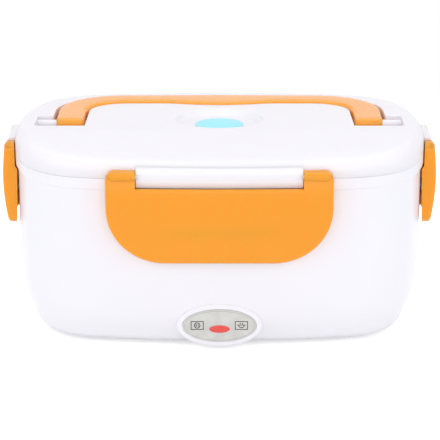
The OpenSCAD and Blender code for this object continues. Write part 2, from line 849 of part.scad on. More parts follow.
module vent_plug() {
    crown = 14;
    color([0.62, 0.93, 0.98])
    translate([0, dish_y, dish_z + seat_gap]) {
        rotate_extrude()
            polygon(concat([[0, 0], [plug_r - 0.4, 0], [plug_r, 0.4], [plug_r, 0.9]],
                [for (i = [0:6]) let (t = i / 6) [plug_r * (1 - t) , 0.9 + 1.7 * (1 - pow(1 - t, 2))]]));
        translate([0, 0, 2 - 6])
            cylinder(r = stem_r, h = 5);
    }
}

// Front view of a latch, set in from its edge by d
function latch_view(half, low, r, d) = concat(
    arc_pts(half - 4.5, hinge_z + horn_r - 4.5, 4.5 - min(d, 4), 90, 0, 4),
    arc_pts(half - r, low + r, r - d, 0, -90, 10),
    arc_pts(-half + r, low + r, r - d, -90, -180, 10),
    arc_pts(-half + 4.5, hinge_z + horn_r - 4.5, 4.5 - min(d, 4), 180, 90, 4));

// Outside of a latch's bulged plate, from the outline
function latch_face(out, z) = out - pow(z - bulge_z, 2) / (2 * (z > bulge_z ? bulge_top_r : bulge_r));

module upright(points, depth) {
    rotate([90, 0, 0])
        linear_extrude(depth)
            polygon(points);
}

// A latch on the front face: bulged plate, skirts, horns, peg holes and hook
module latch(arc_r, face, reach, half, low, r, lug_half, out, ledge) {
    inner = skirt_gap - band_out;
    band_under = rim_z - band_h;
    hook_tip = catch_out - band_out + hook_gap;
    hook_root = latch_face(out, catch_z) - latch_t + 1.2;
    notch_in = lug_out + lug_gap;
    notch_half = lug_half + lug_side_gap;
    color(orange) {
        difference() {
            union() {
                difference() {
                    intersection() {
                        front_sweep(face, reach, half + 6)
                            polygon(concat(
                                [for (i = [0:7]) let (z = low + 1.6 + (hinge_z - low - 3.2) * i / 7)
                                    [latch_face(out, z), z]],
                                [[min(latch_face(out, hinge_z), hinge_out + horn_r), hinge_z], [-6, hinge_z],
                                [-6, low], [latch_face(out, low) - 1.6, low]]));
                        upright(latch_view(half, low, r, 0), reach + 20);
                    }
                    // Room for the wall and for the band
                    front_sweep(arc_r, reach, half + 12)
                        polygon([[-20, low - 1], [inner, low - 1], [inner, band_under - 3],
                            [band_gap, band_under - 1], [band_gap, hinge_z + 1], [-20, hinge_z + 1]]);
                    // Room for the ledge, which passes the lower skirt when the lid is lifted
                    front_sweep(arc_r, reach, ledge + 1)
                        polygon([[-20, low - 1], [hook_tip, low - 1], [hook_tip, catch_z], [-20, catch_z]]);
                    // Hollow back
                    intersection() {
                        front_sweep(face, reach, half + 2)
                            polygon(concat([[-20, low + 2]],
                                [for (i = [0:6]) let (z = low + 2 + (hollow_top - low - 2) * i / 6)
                                    [latch_face(out, z) - latch_t, z]], [[-20, hollow_top]]));
                        upright(latch_view(half, low, r, side_skirt), reach + 20);
                    }
                }
                intersection() {
                    translate([0, -reach - hinge_out, hinge_z])
                        rotate([0, 90, 0])
                            cylinder(r = horn_r, h = 2 * half, center = true);
                    upright(latch_view(half, low, r, 0), reach + 20);
                }
            }
            // Notch for the lug, with a sloping edge
            intersection() {
                front_sweep(face, reach, notch_half + 6)
                    polygon([[-20, hollow_top - 0.5], [latch_face(out, hollow_top) - latch_t, hollow_top - 0.5],
                        [notch_in, hollow_top + 2], [notch_in, notch_in_z], [latch_face(out, notch_out_z), notch_out_z],
                        [out + 5, notch_out_z - 1], [out + 5, hinge_z + 10], [-20, hinge_z + 10]]);
                translate([-notch_half, -reach - 20, low])
                    cube([2 * notch_half, 40, hinge_z + 10 - low]);
            }
            for (x = [-1, 1])
                translate([x * (lug_half - 1), -reach - hinge_out, hinge_z])
                    rotate([0, x * 90, 0])
                        cylinder(r = peg_r + run_gap, h = peg_l + 1.4);
        }
        front_sweep(arc_r, reach, lug_half - 12)
            polygon([[hook_tip, catch_z - 0.6], [hook_root, catch_z - soft_gap],
                [hook_root, catch_z - 4.4], [hook_tip, catch_z - 3]]);
    }
}

module front_latch() {
    latch(front_r, face_r, out_b, latch_w, latch_z, latch_corner, lug_w, latch_out, front_ledge);
}

module rear_latch() {
    rotate(180)
        latch(front_r, face_r, out_b, latch_w, latch_z, latch_corner, lug_w, latch_out, front_ledge);
}

module right_latch() {
    rotate(90)
        latch(side_r, side_face_r, out_a, side_latch_w, side_latch_z, side_latch_corner, side_lug_w, side_latch_out,
            side_ledge);
}

module left_latch() {
    rotate(270)
        latch(side_r, side_face_r, out_a, side_latch_w, side_latch_z, side_latch_corner, side_lug_w, side_latch_out,
            side_ledge);
}

// Levels of the tray's outside and of its inside
tray_foot = cavity_in(tray_z + cavity_round) + part_gap;
TRAY_LEVELS = concat(
    round_levels(tray_foot, tray_z, cavity_round, -90, 0, 5),
    [for (i = [1:4]) let (z = tray_z + cavity_round + (taper_z - tray_z - cavity_round) * i / 4)
        [cavity_in(z) + part_gap, z]],
    [[cavity_in(ledge_z) + part_gap, ledge_z + 0.5]]);
FOOD_LEVELS = concat(
    round_levels(tray_foot + tray_t, tray_z + tray_t, cavity_round - tray_t, -90, 0, 5),
    [for (i = [1:4]) let (z = tray_z + cavity_round + (taper_z - tray_z - cavity_round) * i / 4)
        [cavity_in(z) + part_gap + tray_t, z]],
    [[cavity_in(ledge_z) + part_gap + tray_t, rim_z + 2]]);

module food_tray() {
    color(white)
    difference() {
        union() {
            skin(TRAY_LEVELS);
            slab(lip_w + soft_gap, ledge_z, ledge_z + tray_flange);
        }
        difference() {
            skin(FOOD_LEVELS);
            // The divider is what is left standing
            translate([divider_x - tray_t / 2, -out_b, tray_z])
                cube([tray_t, rim_d, divider_z - tray_z]);
        }
    }
}

// Outline of the side dish: tight corners by the divider, wide ones at the end
dish_x0 = divider_x + 6;
dish_x1 = out_a - 19;
dish_y1 = out_b - 23;
dish_box_z = tray_z + tray_t + 0.4;
function dish_pts(d) = concat(
    arc_pts(dish_x1 - 30, dish_y1 - 30, 30 - d, 0, 90, 8), arc_pts(dish_x0 + 10, dish_y1 - 10, 10 - d, 90, 180, 5),
    arc_pts(dish_x0 + 10, 10 - dish_y1, 10 - d, 180, 270, 5), arc_pts(dish_x1 - 30, 30 - dish_y1, 30 - d, 270, 360, 8));

module side_dish() {
    top = dish_box_z + dish_box_h;
    color(white)
    difference() {
        union() {
            plate(dish_pts(1.6), dish_box_z, top);
            plate(dish_pts(0), top - 3, top);
        }
        plate(dish_pts(1.6 + dish_box_t), dish_box_z + dish_box_t, top + 1);
    }
}

module side_dish_lid() {
    top = dish_box_z + dish_box_h;
    color(orange) {
        plate(dish_pts(0), top, top + 1.6);
        difference() {
            plate(dish_pts(1.6 + dish_box_t + soft_gap), top - 3, top + eps);
            plate(dish_pts(1.6 + dish_box_t + 1.8), top - 4, top + 1);
        }
    }
}

base_shell();
bottom_cover();
rubber_feet();
cover_screws();
heating_plate();
plate_gasket();
ceramic_heater();
heater_clamp();
clamp_screws();
thermal_fuse();
power_inlet();
inlet_pins();
indicator_lamp();
lamp_lens();
badge_plate();
wires();
lid_shell();
lid_liner();
lid_gasket();
vent_plug();
handle();
front_latch();
rear_latch();
left_latch();
right_latch();
food_tray();
side_dish();
side_dish_lid();
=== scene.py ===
# %% [markdown]
# # A heated lunch box
# This lesson dresses a CAD model of an electric lunch box. The CAD parts come in as a fixed frame, in
# metres, and every piece made here sits exactly where the frame says and moves with one of its bodies.
# Lengths in this file are written in millimetres and turned into metres at the last step.

# %% Open the frame
import math
from contextlib import contextmanager
from types import SimpleNamespace

import bmesh
import bpy
import numpy as np
from mathutils import Matrix, Vector
from mathutils.geometry import delaunay_2d_cdt


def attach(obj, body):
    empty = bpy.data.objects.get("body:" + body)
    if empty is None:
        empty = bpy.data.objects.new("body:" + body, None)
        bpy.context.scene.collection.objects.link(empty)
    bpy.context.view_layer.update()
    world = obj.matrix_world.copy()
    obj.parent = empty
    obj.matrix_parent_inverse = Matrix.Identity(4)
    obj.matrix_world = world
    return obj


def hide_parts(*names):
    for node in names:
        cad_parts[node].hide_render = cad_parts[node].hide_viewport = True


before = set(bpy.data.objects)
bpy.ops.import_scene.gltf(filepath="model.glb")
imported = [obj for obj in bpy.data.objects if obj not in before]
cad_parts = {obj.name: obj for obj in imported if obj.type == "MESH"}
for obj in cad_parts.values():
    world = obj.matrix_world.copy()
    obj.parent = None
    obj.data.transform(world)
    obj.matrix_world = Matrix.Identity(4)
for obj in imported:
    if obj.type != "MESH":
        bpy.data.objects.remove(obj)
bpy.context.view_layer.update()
MM = 0.001

# %% [markdown]
# ## Camera
# The photograph was taken with a long lens from about a metre away, a little above the box. A pinhole
# camera fitted to the rim and the feet gives the numbers below. The target is a point inside the box.

# %% Camera of the photograph
def add_object(name, data):
    obj = bpy.data.objects.new(name, data)
    bpy.context.scene.collection.objects.link(obj)
    return obj


DISTANCE = 1000.0
PITCH = math.radians(17.3)
TARGET = Vector((0.0, 0.0, 48.96)) * MM
HALF_PIXEL = 0.5 / 440
lens = bpy.data.cameras.new("photo_camera")
lens.sensor_width = 36.0
lens.lens = 146.4
lens.shift_x = HALF_PIXEL
lens.clip_end = 20.0
camera = add_object("photo_camera", lens)
camera.location = TARGET + DISTANCE * MM * Vector((0, -math.cos(PITCH), math.sin(PITCH)))
camera.rotation_euler = (TARGET - camera.location).to_track_quat("-Z", "Y").to_euler()
bpy.context.scene.camera = camera
print("camera at", [round(c, 3) for c in camera.location])

# %% [markdown]
# ## The plan outline
# Seen from above, the real box is a rectangle with bulging sides: eight arcs that run into each other
# without a kink. The same eight arcs, set in by different amounts, give every wall of the base, the lid
# and the tray. So one function makes a loop of points at any inset, always with the same number of
# points, and a wall is simply a stack of such loops.

# %% Outline from eight tangent arcs
RIM_A, RIM_B = 112.0, 77.0
FRONT_R, SIDE_R, CORNER_R = 450.0, 130.0, 44.0


def tangent_corner():
    """Centre of the corner arc that touches the front arc and the side arc."""
    side_x, front_y = RIM_A - SIDE_R, RIM_B - FRONT_R
    reach_1, reach_2 = FRONT_R - CORNER_R, SIDE_R - CORNER_R
    span = math.hypot(side_x, front_y)
    along = (span**2 + reach_1**2 - reach_2**2) / (2 * span)
    aside = math.sqrt(reach_1**2 - along**2)
    ux, uy = side_x / span, -front_y / span
    return ux * along + uy * aside, front_y + uy * along - ux * aside


CORNER_X, CORNER_Y = tangent_corner()
FRONT_TURN = math.degrees(math.atan2(CORNER_Y - (RIM_B - FRONT_R), CORNER_X))
SIDE_TURN = math.degrees(math.atan2(CORNER_Y, CORNER_X - (RIM_A - SIDE_R)))
QUARTER = FRONT_TURN - SIDE_TURN
ARCS = [
    (RIM_A - SIDE_R, 0, SIDE_R, -SIDE_TURN, 2 * SIDE_TURN, 18),
    (CORNER_X, CORNER_Y, CORNER_R, SIDE_TURN, QUARTER, 26),
    (0, RIM_B - FRONT_R, FRONT_R, FRONT_TURN, 180 - 2 * FRONT_TURN, 26),
    (-CORNER_X, CORNER_Y, CORNER_R, 180 - FRONT_TURN, QUARTER, 26),
    (SIDE_R - RIM_A, 0, SIDE_R, 180 - SIDE_TURN, 2 * SIDE_TURN, 18),
    (-CORNER_X, -CORNER_Y, CORNER_R, 180 + SIDE_TURN, QUARTER, 26),
    (0, FRONT_R - RIM_B, FRONT_R, 180 + FRONT_TURN, 180 - 2 * FRONT_TURN, 26),
    (CORNER_X, -CORNER_Y, CORNER_R, 360 - FRONT_TURN, QUARTER, 26),
]


# %% Loops at an inset
def outline(inset):
    points = []
    for cx, cy, r, start, turn, steps in ARCS:
        for i in range(steps):
            a = math.radians(start + turn * i / steps)
            points.append((cx + (r - inset) * math.cos(a), cy + (r - inset) * math.sin(a)))
    return points


def inset_of(x, y):
    """How far a point lies inside the outline."""
    x, y = abs(x), abs(y)
    turn = math.degrees(math.atan2(y - CORNER_Y, x - CORNER_X))
    if x > CORNER_X and y > CORNER_Y and SIDE_TURN <= turn <= FRONT_TURN:
        return CORNER_R - math.hypot(x - CORNER_X, y - CORNER_Y)
    to_front = FRONT_R - math.hypot(x, y - (RIM_B - FRONT_R))
    to_side = SIDE_R - math.hypot(x - (RIM_A - SIDE_R), y)
    return min(to_front, to_side)


print("points in a loop:", len(outline(0)), "corner centre:", round(CORNER_X, 1), round(CORNER_Y, 1))

# %% [markdown]
# ## A small mesh maker
# Most pieces are moulded shells, so they are built the way a mould maker thinks of them: closed loops of
# points joined by bands of four-sided faces, and flat or gently curved areas filled between loops. The
# fill uses a Delaunay triangulation with a grid of inner points, so that the area can be bulged by a
# height rule afterwards. This keeps every edge exactly where the rule puts it, which booleans do not.


# %% Mesh maker
@contextmanager
def editing(mesh):
    """Opens a mesh for edits and then writes them back."""
    work = bmesh.new()
    work.from_mesh(mesh)
    yield work
    work.to_mesh(mesh)
    work.free()


class Moulding:
    def __init__(self):
        self.points = []
        self.faces = []

    def loop(self, points):
        first = len(self.points)
        self.points.extend(tuple(p) for p in points)
        return list(range(first, len(self.points)))

    def band(self, lower, upper):
        n = len(lower)
        for i in range(n):
            j = (i + 1) % n
            self.faces.append((lower[i], lower[j], upper[j], upper[i]))

    def stack(self, loops):
        rows = [self.loop(points) for points in loops]
        for lower, upper in zip(rows, rows[1:]):
            self.band(lower, upper)
        return rows

    def closed_stack(self, loops):
        """Stack with a face over its first loop and over its last one."""
        rows = self.stack(loops)
        self.faces += [tuple(reversed(rows[0])), tuple(rows[-1])]

    def fill(self, border, holes, place, spacing, creases=()):
        """Fills between 2D loops. place makes a 2D point 3D; creases are rings that keep edges."""
        rings = [border] + holes
        flat, edges = [], []
        for ring in rings + list(creases):
            first = len(flat)
            flat.extend(ring)
            edges.extend((first + i, first + (i + 1) % len(ring)) for i in range(len(ring)))
        arrays = [np.array(ring) for ring in rings]
        low, high = arrays[0].min(axis=0), arrays[0].max(axis=0)
        xs = np.arange(low[0] + spacing * 0.5, high[0], spacing)
        ys = np.arange(low[1] + spacing * 0.5, high[1], spacing)
        grid = np.array([(x, y) for y in ys for x in xs])
        if len(grid):
            keep = between(grid, arrays)
            for ring in arrays + [np.array(crease) for crease in creases]:
                keep &= away(grid, ring, spacing * 0.45)
            flat.extend(map(tuple, grid[keep]))
        result = delaunay_2d_cdt([Vector(p) for p in flat], edges, [], 0, 1e-6)
        out, triangles = np.array([tuple(v) for v in result[0]]), result[2]
        middles = np.array([out[list(t)].mean(axis=0) for t in triangles])
        keep = between(middles, arrays)
        index = self.loop([place(x, y) for x, y in out])
        for t, good in zip(triangles, keep):
            if good:
                self.faces.append(tuple(index[k] for k in t))

    def piece(self, name, material, body=None, smooth=40.0, weld=0.004):
        mesh = bpy.data.meshes.new(name)
        mesh.from_pydata([tuple(c * MM for c in p) for p in self.points], [], self.faces)
        with editing(mesh) as work:
            bmesh.ops.remove_doubles(work, verts=work.verts, dist=weld * MM)
            bmesh.ops.recalc_face_normals(work, faces=work.faces)
        mesh.materials.append(material)
        obj = add_object(name, mesh)
        soften(obj, smooth)
        if body:
            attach(obj, body)
        print(name, "faces:", len(mesh.polygons))
        return obj


# %% Closed pieces from one stack
def solid(name, loops, material, body=None, **options):
    """Piece from one closed stack of loops."""
    shape = Moulding()
    shape.closed_stack(loops)
    return shape.piece(name, material, body, **options)


# %% Tests for the inner points of a fill
def inside(points, ring):
    """Which points lie inside a closed ring of points."""
    x, y = points[:, 0], points[:, 1]
    hit = np.zeros(len(points), bool)
    ax, ay = ring[:, 0], ring[:, 1]
    bx, by = np.roll(ax, -1), np.roll(ay, -1)
    for i in range(len(ring)):
        cross = (ay[i] > y) != (by[i] > y)
        rise = (by[i] - ay[i]) or 1e-12
        hit ^= cross & (x < (bx[i] - ax[i]) * (y - ay[i]) / rise + ax[i])
    return hit


def between(points, rings):
    """Which points lie inside the first ring and outside the others."""
    keep = inside(points, rings[0])
    for hole in rings[1:]:
        keep &= ~inside(points, hole)
    return keep


def away(points, ring, distance):
    """Which points keep a distance from a ring of points."""
    keep = np.ones(len(points), bool)
    following = np.roll(ring, -1, axis=0)
    for a, b in zip(ring, following):
        d = b - a
        t = np.clip(((points - a) @ d) / max(d @ d, 1e-12), 0, 1)
        keep &= np.hypot(*(points - (a + t[:, None] * d)).T) > distance
    return keep


# %% Shading
def soften(obj, angle):
    """Smooth shading, with an edge wherever faces meet more sharply than the angle."""
    mesh = obj.data
    mesh.polygons.foreach_set("use_smooth", [True] * len(mesh.polygons))
    with editing(mesh) as work:
        for edge in work.edges:
            edge.smooth = len(edge.link_faces) == 2 and edge.calc_face_angle(0) < math.radians(angle)


# %% Arcs, circles and offsets
def at_height(points, z):
    return [(x, y, z) for x, y in points]


def arc(cx, cy, r, start, end, steps):
    angles = [math.radians(start + (end - start) * i / steps) for i in range(steps + 1)]
    return [(cx + r * math.cos(a), cy + r * math.sin(a)) for a in angles]


def circle(r, steps, cx=0.0, cy=0.0):
    turn = np.linspace(0, 2 * math.pi, steps + 1)[:-1]
    return [(cx + r * math.cos(a), cy + r * math.sin(a)) for a in turn]


def ease(part):
    """Smooth step from 0 to 1."""
    return part * part * (3 - 2 * part)


def offset(ring, distance):
    """Moves a closed anticlockwise ring of 2D points outwards."""
    p = np.array(ring)
    before, after = np.roll(p, 1, axis=0), np.roll(p, -1, axis=0)
    a, b = p - before, after - p
    a /= np.maximum(np.hypot(*a.T), 1e-9)[:, None]
    b /= np.maximum(np.hypot(*b.T), 1e-9)[:, None]
    na, nb = np.column_stack([a[:, 1], -a[:, 0]]), np.column_stack([b[:, 1], -b[:, 0]])
    n = na + nb
    n /= np.maximum((n * n).sum(axis=1) / 2, 0.3)[:, None]
    return [tuple(q) for q in p + n * distance]


# %% Cuts and joins
def cut(obj, cutter):
    """Takes one closed mesh out of another."""
    modifier = obj.modifiers.new("cut", "BOOLEAN")
    modifier.operation = "DIFFERENCE"
    modifier.solver = "EXACT"
    modifier.object = cutter
    settle(obj)
    bpy.data.objects.remove(cutter, do_unlink=True)


def settle(obj):
    """Turns the result of an object's modifiers into its own plain mesh."""
    graph = bpy.context.evaluated_depsgraph_get()
    mesh = bpy.data.meshes.new_from_object(obj.evaluated_get(graph))
    obj.modifiers.clear()
    old = obj.data
    obj.data = mesh
    bpy.data.meshes.remove(old)


def join(name, pieces, smooth=40.0):
    """Puts several meshes into the first one."""
    whole = pieces[0]
    with editing(whole.data) as work:
        for piece in pieces[1:]:
            work.from_mesh(piece.data)
    for piece in pieces[1:]:
        bpy.data.objects.remove(piece, do_unlink=True)
    whole.name = name
    soften(whole, smooth)
    return whole


# %% [markdown]
# ## Materials
# The real box is injection moulded. Gloss plastic has three visible traits: a clear even colour, a soft
# highlight, and a very fine waviness that breaks the highlight up a little. So each plastic here has a
# fine bump, and a roughness and a colour that vary with a broader noise, the roughness by a few
# hundredths, in object coordinates, so that nothing slides when a piece moves.


# %% Material helper
BROAD = 14
RELIEF = 0.0002


def feed(tree, target, inputs):
    """Gives each input of a shader node a value, or a link from another node's output."""
    for socket, value in inputs.items():
        if isinstance(value, bpy.types.NodeSocket):
            tree.links.new(value, target.inputs[socket])
        else:
            target.inputs[socket].default_value = value
    return target


def node(tree, kind, inputs, **settings):
    """Adds a shader node with its settings and its inputs."""
    made = tree.nodes.new("ShaderNode" + kind)
    for name, value in settings.items():
        setattr(made, name, value)
    return feed(tree, made, inputs)


def finish(name, colour, rough, vary=0.04, grain=400.0, bump=0.04, tint=0.03, **sockets):
    """Plastic or metal with a fine grain, and with waves BROAD times as wide in its gloss and colour."""
    material = bpy.data.materials.new(name)
    material.use_nodes = True
    tree = material.node_tree
    spot = node(tree, "TexCoord", {}).outputs["Object"]
    fine = node(tree, "TexNoise", {"Vector": spot, "Scale": grain, "Detail": 3.0})
    waves = node(tree, "TexNoise", {"Vector": spot, "Scale": grain / BROAD, "Detail": 2.0}).outputs["Fac"]
    ramp = node(tree, "MapRange", {"Value": waves, "To Min": rough - vary, "To Max": rough + vary})
    darker = (*[c * (1 - tint) for c in colour], 1)
    mix = node(tree, "Mix", {"Factor": waves, "A": (*colour, 1), "B": darker}, data_type="RGBA")
    relief = node(tree, "Bump", {"Height": fine.outputs["Fac"], "Strength": bump, "Distance": RELIEF})
    inputs = {socket.replace("_", " "): value for socket, value in sockets.items()}
    inputs["Roughness"] = ramp.outputs["Result"]
    inputs["Base Color"] = mix.outputs["Result"]
    inputs["Normal"] = relief.outputs["Normal"]
    feed(tree, tree.nodes["Principled BSDF"], inputs)
    return material


# %% The finishes of this box
def glow_depth(material, weight, radius):
    """Light that enters a plastic spreads a few millimetres inside it, most in its own colour."""
    tree = material.node_tree
    inputs = {"Subsurface Weight": weight, "Subsurface Radius": radius, "Subsurface Scale": 1.0}
    feed(tree, tree.nodes["Principled BSDF"], inputs)


white_gloss = finish("white gloss plastic", (0.89, 0.876, 0.918), 0.34, IOR=1.5)
white_lid = finish("white lid plastic", (0.885, 0.858, 0.893), 0.36, IOR=1.5)
glow_depth(white_lid, 0.3, (0.006, 0.005, 0.0055))
white_matt = finish("white matt plastic", (0.88, 0.88, 0.91), 0.55, bump=0.1)
orange_gloss = finish("orange gloss plastic", (1.0, 0.342, 0.008), 0.32, tint=0.06, IOR=1.5,
                      Specular_IOR_Level=0.42)
glow_depth(orange_gloss, 0.3, (0.008, 0.003, 0.001))
orange_bow = finish("orange handle plastic", (1.0, 0.365, 0.012), 0.26, tint=0.05, IOR=1.5,
                    Coat_Weight=0.3, Coat_Roughness=0.2)
glow_depth(orange_bow, 0.3, (0.008, 0.003, 0.001))
aqua_silicone = finish("aqua silicone", (0.36, 0.86, 0.98), 0.42, bump=0.08)
glow_depth(aqua_silicone, 0.2, (0.004, 0.006, 0.006))
red_silicone = finish("red silicone", (0.55, 0.06, 0.03), 0.6, bump=0.1)
black_rubber = finish("black rubber", (0.03, 0.03, 0.032), 0.75, bump=0.25)
screw_steel = finish("zinc plated steel", (0.62, 0.62, 0.64), 0.28, Metallic=1.0)
plate_aluminium = finish("pressed aluminium", (0.72, 0.73, 0.75), 0.38, bump=0.12, Metallic=1.0)
sheet_steel = finish("sheet steel", (0.5, 0.5, 0.5), 0.42, bump=0.15, Metallic=1.0)
ceramic = finish("ceramic", (0.75, 0.7, 0.6), 0.8, bump=0.3)
pin_brass = finish("plated pins", (0.75, 0.68, 0.48), 0.25, Metallic=1.0)
lens_red = finish("red lens", (0.78, 0.045, 0.025), 0.18, bump=0.02, Coat_Weight=0.5)
lamp_tint = finish("lamp body", (0.85, 0.3, 0.22), 0.3)
wire_red = finish("wire insulation", (0.5, 0.04, 0.03), 0.5)
food_white = finish("food grade white", (0.9, 0.9, 0.92), 0.4)
badge_silver = finish("badge silver", (0.74, 0.74, 0.70), 0.4, vary=0.05, grain=2600.0, bump=0.35, tint=0.3)
badge_ink = finish("badge ink", (0.06, 0.06, 0.065), 0.5)
badge_line = finish("badge keyline", (0.38, 0.38, 0.36), 0.5)
print("finishes:", len(bpy.data.materials))

# %% [markdown]
# ## Base
# The base is one moulding: a wall that draws in towards the foot with a soft parabolic curve and a little
# more in its lowest part, a round bottom edge, a band round the rim that stands out a little, a lip and a
# ledge that carry the tray, and the cavity with its floor. All of it follows the outline, so it is one
# stack of loops: from the inner edge of the underside, up the outside, over the rim and down inside.

# %% Levels of the base
RIM_Z, BAND_OUT, WALL_T = 93.8, 1.4, 2.6
TAPER_Z, TAPER_IN = 50.0, 3.8  # where the wall starts to draw in, and how far it goes
TUCK_Z, TUCK_IN = 22.0, 2.4  # the same for the lowest part
FOOT_H, BASE_ROUND = 2.0, 6.0
FOOT_TOP = FOOT_H + BASE_ROUND
FLOOR_Z, FLOOR_UNDER, CAVITY_ROUND = 24.0, 21.6, 8.0
CAVITY_BEND = FLOOR_Z + CAVITY_ROUND
LEDGE_Z, LIP_W, COVER_IN, COVER_TOP, ROOM_IN = 91.2, 2.2, 14.0, 4.2, 16.5
WINDOW, FLOOR_GRID = (102, 56, 12), 9.0


def wall_in(z):
    if z >= TAPER_Z:
        return BAND_OUT
    return BAND_OUT + TAPER_IN * ((TAPER_Z - z) / (TAPER_Z - FOOT_TOP)) ** 2


def tuck(z):
    """How much more the lowest part of the outside draws in, as the photograph's foot line does."""
    return TUCK_IN * (max(0.0, TUCK_Z - z) / (TUCK_Z - FOOT_TOP)) ** 2


def cavity_in(z):
    return wall_in(z) + WALL_T


def rounded(cx, cz, r, start, end, steps):
    """Levels of a round edge; cx is an inset, so it runs the other way from an outward distance."""
    return [(cx - r * math.cos(math.radians(a)), cz + r * math.sin(math.radians(a)))
            for a in np.linspace(start, end, steps + 1)]


outer = [(COVER_IN, COVER_TOP), (COVER_IN, FOOT_H + 0.3), (COVER_IN - 0.3, FOOT_H)]
outer += rounded(wall_in(FOOT_TOP) + tuck(FOOT_TOP) + BASE_ROUND, FOOT_TOP, BASE_ROUND, -90, -20, 10)
outer += [(wall_in(z) + tuck(z), z) for z in np.linspace(FOOT_TOP + 0.6, TAPER_Z, 22)]
outer += [(BAND_OUT, 60.0), (BAND_OUT, 72.0), (BAND_OUT, 86.9), (1.3, 87.4), (1.05, 87.6), (0.5, 87.75)]
outer += [(0.2, 87.9), (0.05, 88.15), (0, 88.6), (0, 91.0), (0, RIM_Z - 0.55)]
outer += rounded(0.5, RIM_Z - 0.5, 0.5, 15, 90, 4)
inner = [(LIP_W - 0.3, RIM_Z), (LIP_W, RIM_Z - 0.3), (LIP_W, LEDGE_Z), (cavity_in(LEDGE_Z) - 0.3, LEDGE_Z)]
inner += [(cavity_in(z), z) for z in np.linspace(LEDGE_Z - 0.3, CAVITY_BEND, 14)]
inner += rounded(cavity_in(CAVITY_BEND) + CAVITY_ROUND, CAVITY_BEND, CAVITY_ROUND, 0, -90, 8)[1:]
print("levels of the base:", len(outer) + len(inner))


# %% Walls, floor with its window, and the compartment below
def round_box(width, depth, r, steps=8):
    x, y = width / 2 - r, depth / 2 - r
    ring = []
    for sx, sy, start in ((1, 1, 0), (-1, 1, 90), (-1, -1, 180), (1, -1, 270)):
        ring += arc(sx * x, sy * y, r, start, start + 90, steps)
    return ring


base = Moulding()
base.stack([at_height(outline(t), z) for t, z in outer + inner])
window = round_box(*WINDOW)
base.fill(outline(inner[-1][0]), [window], lambda x, y: (x, y, FLOOR_Z), FLOOR_GRID)
base.stack([at_height(window, FLOOR_Z), at_height(window, FLOOR_UNDER)])
room = [(COVER_IN, COVER_TOP), (ROOM_IN, COVER_TOP), (ROOM_IN, 5.8)]
room += [(cavity_in(FOOT_TOP) + TUCK_IN + 0.6, 9.0), (cavity_in(FLOOR_UNDER), FLOOR_UNDER)]
base.stack([at_height(outline(t), z) for t, z in room])
base.fill(outline(room[-1][0]), [window], lambda x, y: (x, y, FLOOR_UNDER), FLOOR_GRID)
base_body = base.piece("base_moulding", white_gloss)

# %% [markdown]
# The badge and the inlet each sit in an oval rim that grows out of the wall. The rim is a stack of ovals:
# it flares where it meets the wall, so that the two read as one moulding, and it is rounded on top.

# %% Oval rims for the badge and the inlet
BEZEL_Y, BADGE_Z, BADGE_A, BADGE_B = 75.0, 14.2, 19.3, 8.9  # front plane, height and half sizes
BEZEL_W, BEZEL_ROUND = 3.0, 0.9
INLET_A, INLET_B = 15.15, 8.65  # half sizes of the oval round the inlet
INLET_HALF, INLET_HIGH = 10.1, 5.6  # half sizes of its housing


def oval(a, b, steps=96):
    turn = [2 * math.pi * i / steps for i in range(steps)]
    return [(a * math.cos(t), b * math.sin(t)) for t in turn]


def oval_stack(z, rows):
    """Ovals on the front face from (half length, half height, distance in front of the middle)."""
    return [[(x, -y, z + h) for x, h in oval(a, b)] for a, b, y in rows]


def quarter_turn(obj, turns):
    obj.data.transform(Matrix.Rotation(turns * math.pi / 2, 4, "Z"))
    return obj


# %% The two rims and the room for the inlet
def bezel(rear):
    """Oval rim round the badge, or the one at the rear, which is nearly closed round the inlet."""
    rows = [(BADGE_A + 3.6, BADGE_B + 3.4, 62.5), (BADGE_A + 3.2, BADGE_B + 3.2, 73.2)]
    for a in np.linspace(0.15, math.pi / 2, 6):
        wide = BEZEL_W - BEZEL_ROUND * (1 - math.cos(a))
        rows.append((BADGE_A + wide, BADGE_B + wide, BEZEL_Y - BEZEL_ROUND * (1 - math.sin(a))))
    rows.append((BADGE_A + 0.5, BADGE_B + 0.5, BEZEL_Y))
    if rear:
        rows.append((INLET_A + 0.15, INLET_B + 0.15, BEZEL_Y))
        rows += [(INLET_A, INLET_B, BEZEL_Y - depth) for depth in (0.2, 1.2)]
    else:
        rows += [(BADGE_A + 0.15, BADGE_B + 0.15, BEZEL_Y - depth) for depth in (0.3, 0.5)]
    return quarter_turn(solid("oval_rim", oval_stack(BADGE_Z, rows), white_gloss), 2 if rear else 0)


def block(low, high):
    """Closed box between two corners, for cutting."""
    x0, y0, z0 = low
    x1, y1, z1 = high
    ring = [(x0, y0), (x1, y0), (x1, y1), (x0, y1)]
    return solid("cutting_block", [at_height(ring, z0), at_height(ring, z1)], white_gloss)


front_rim, rear_rim = bezel(rear=False), bezel(rear=True)
for moulding in (base_body, rear_rim):
    cut(moulding, block((-INLET_HALF, 60, BADGE_Z - INLET_HIGH), (INLET_HALF, 90, BADGE_Z + INLET_HIGH)))

# %% [markdown]
# The front and the rear are alike, and so are the two ends. Each of the four has a catch ledge on the base,
# a hinge bar with pegs on the lid, and a latch. All of them are made in front of the box and then turned.
# The ledge is the bar on the wall that the latch's hook goes under. It follows the wall's arc.

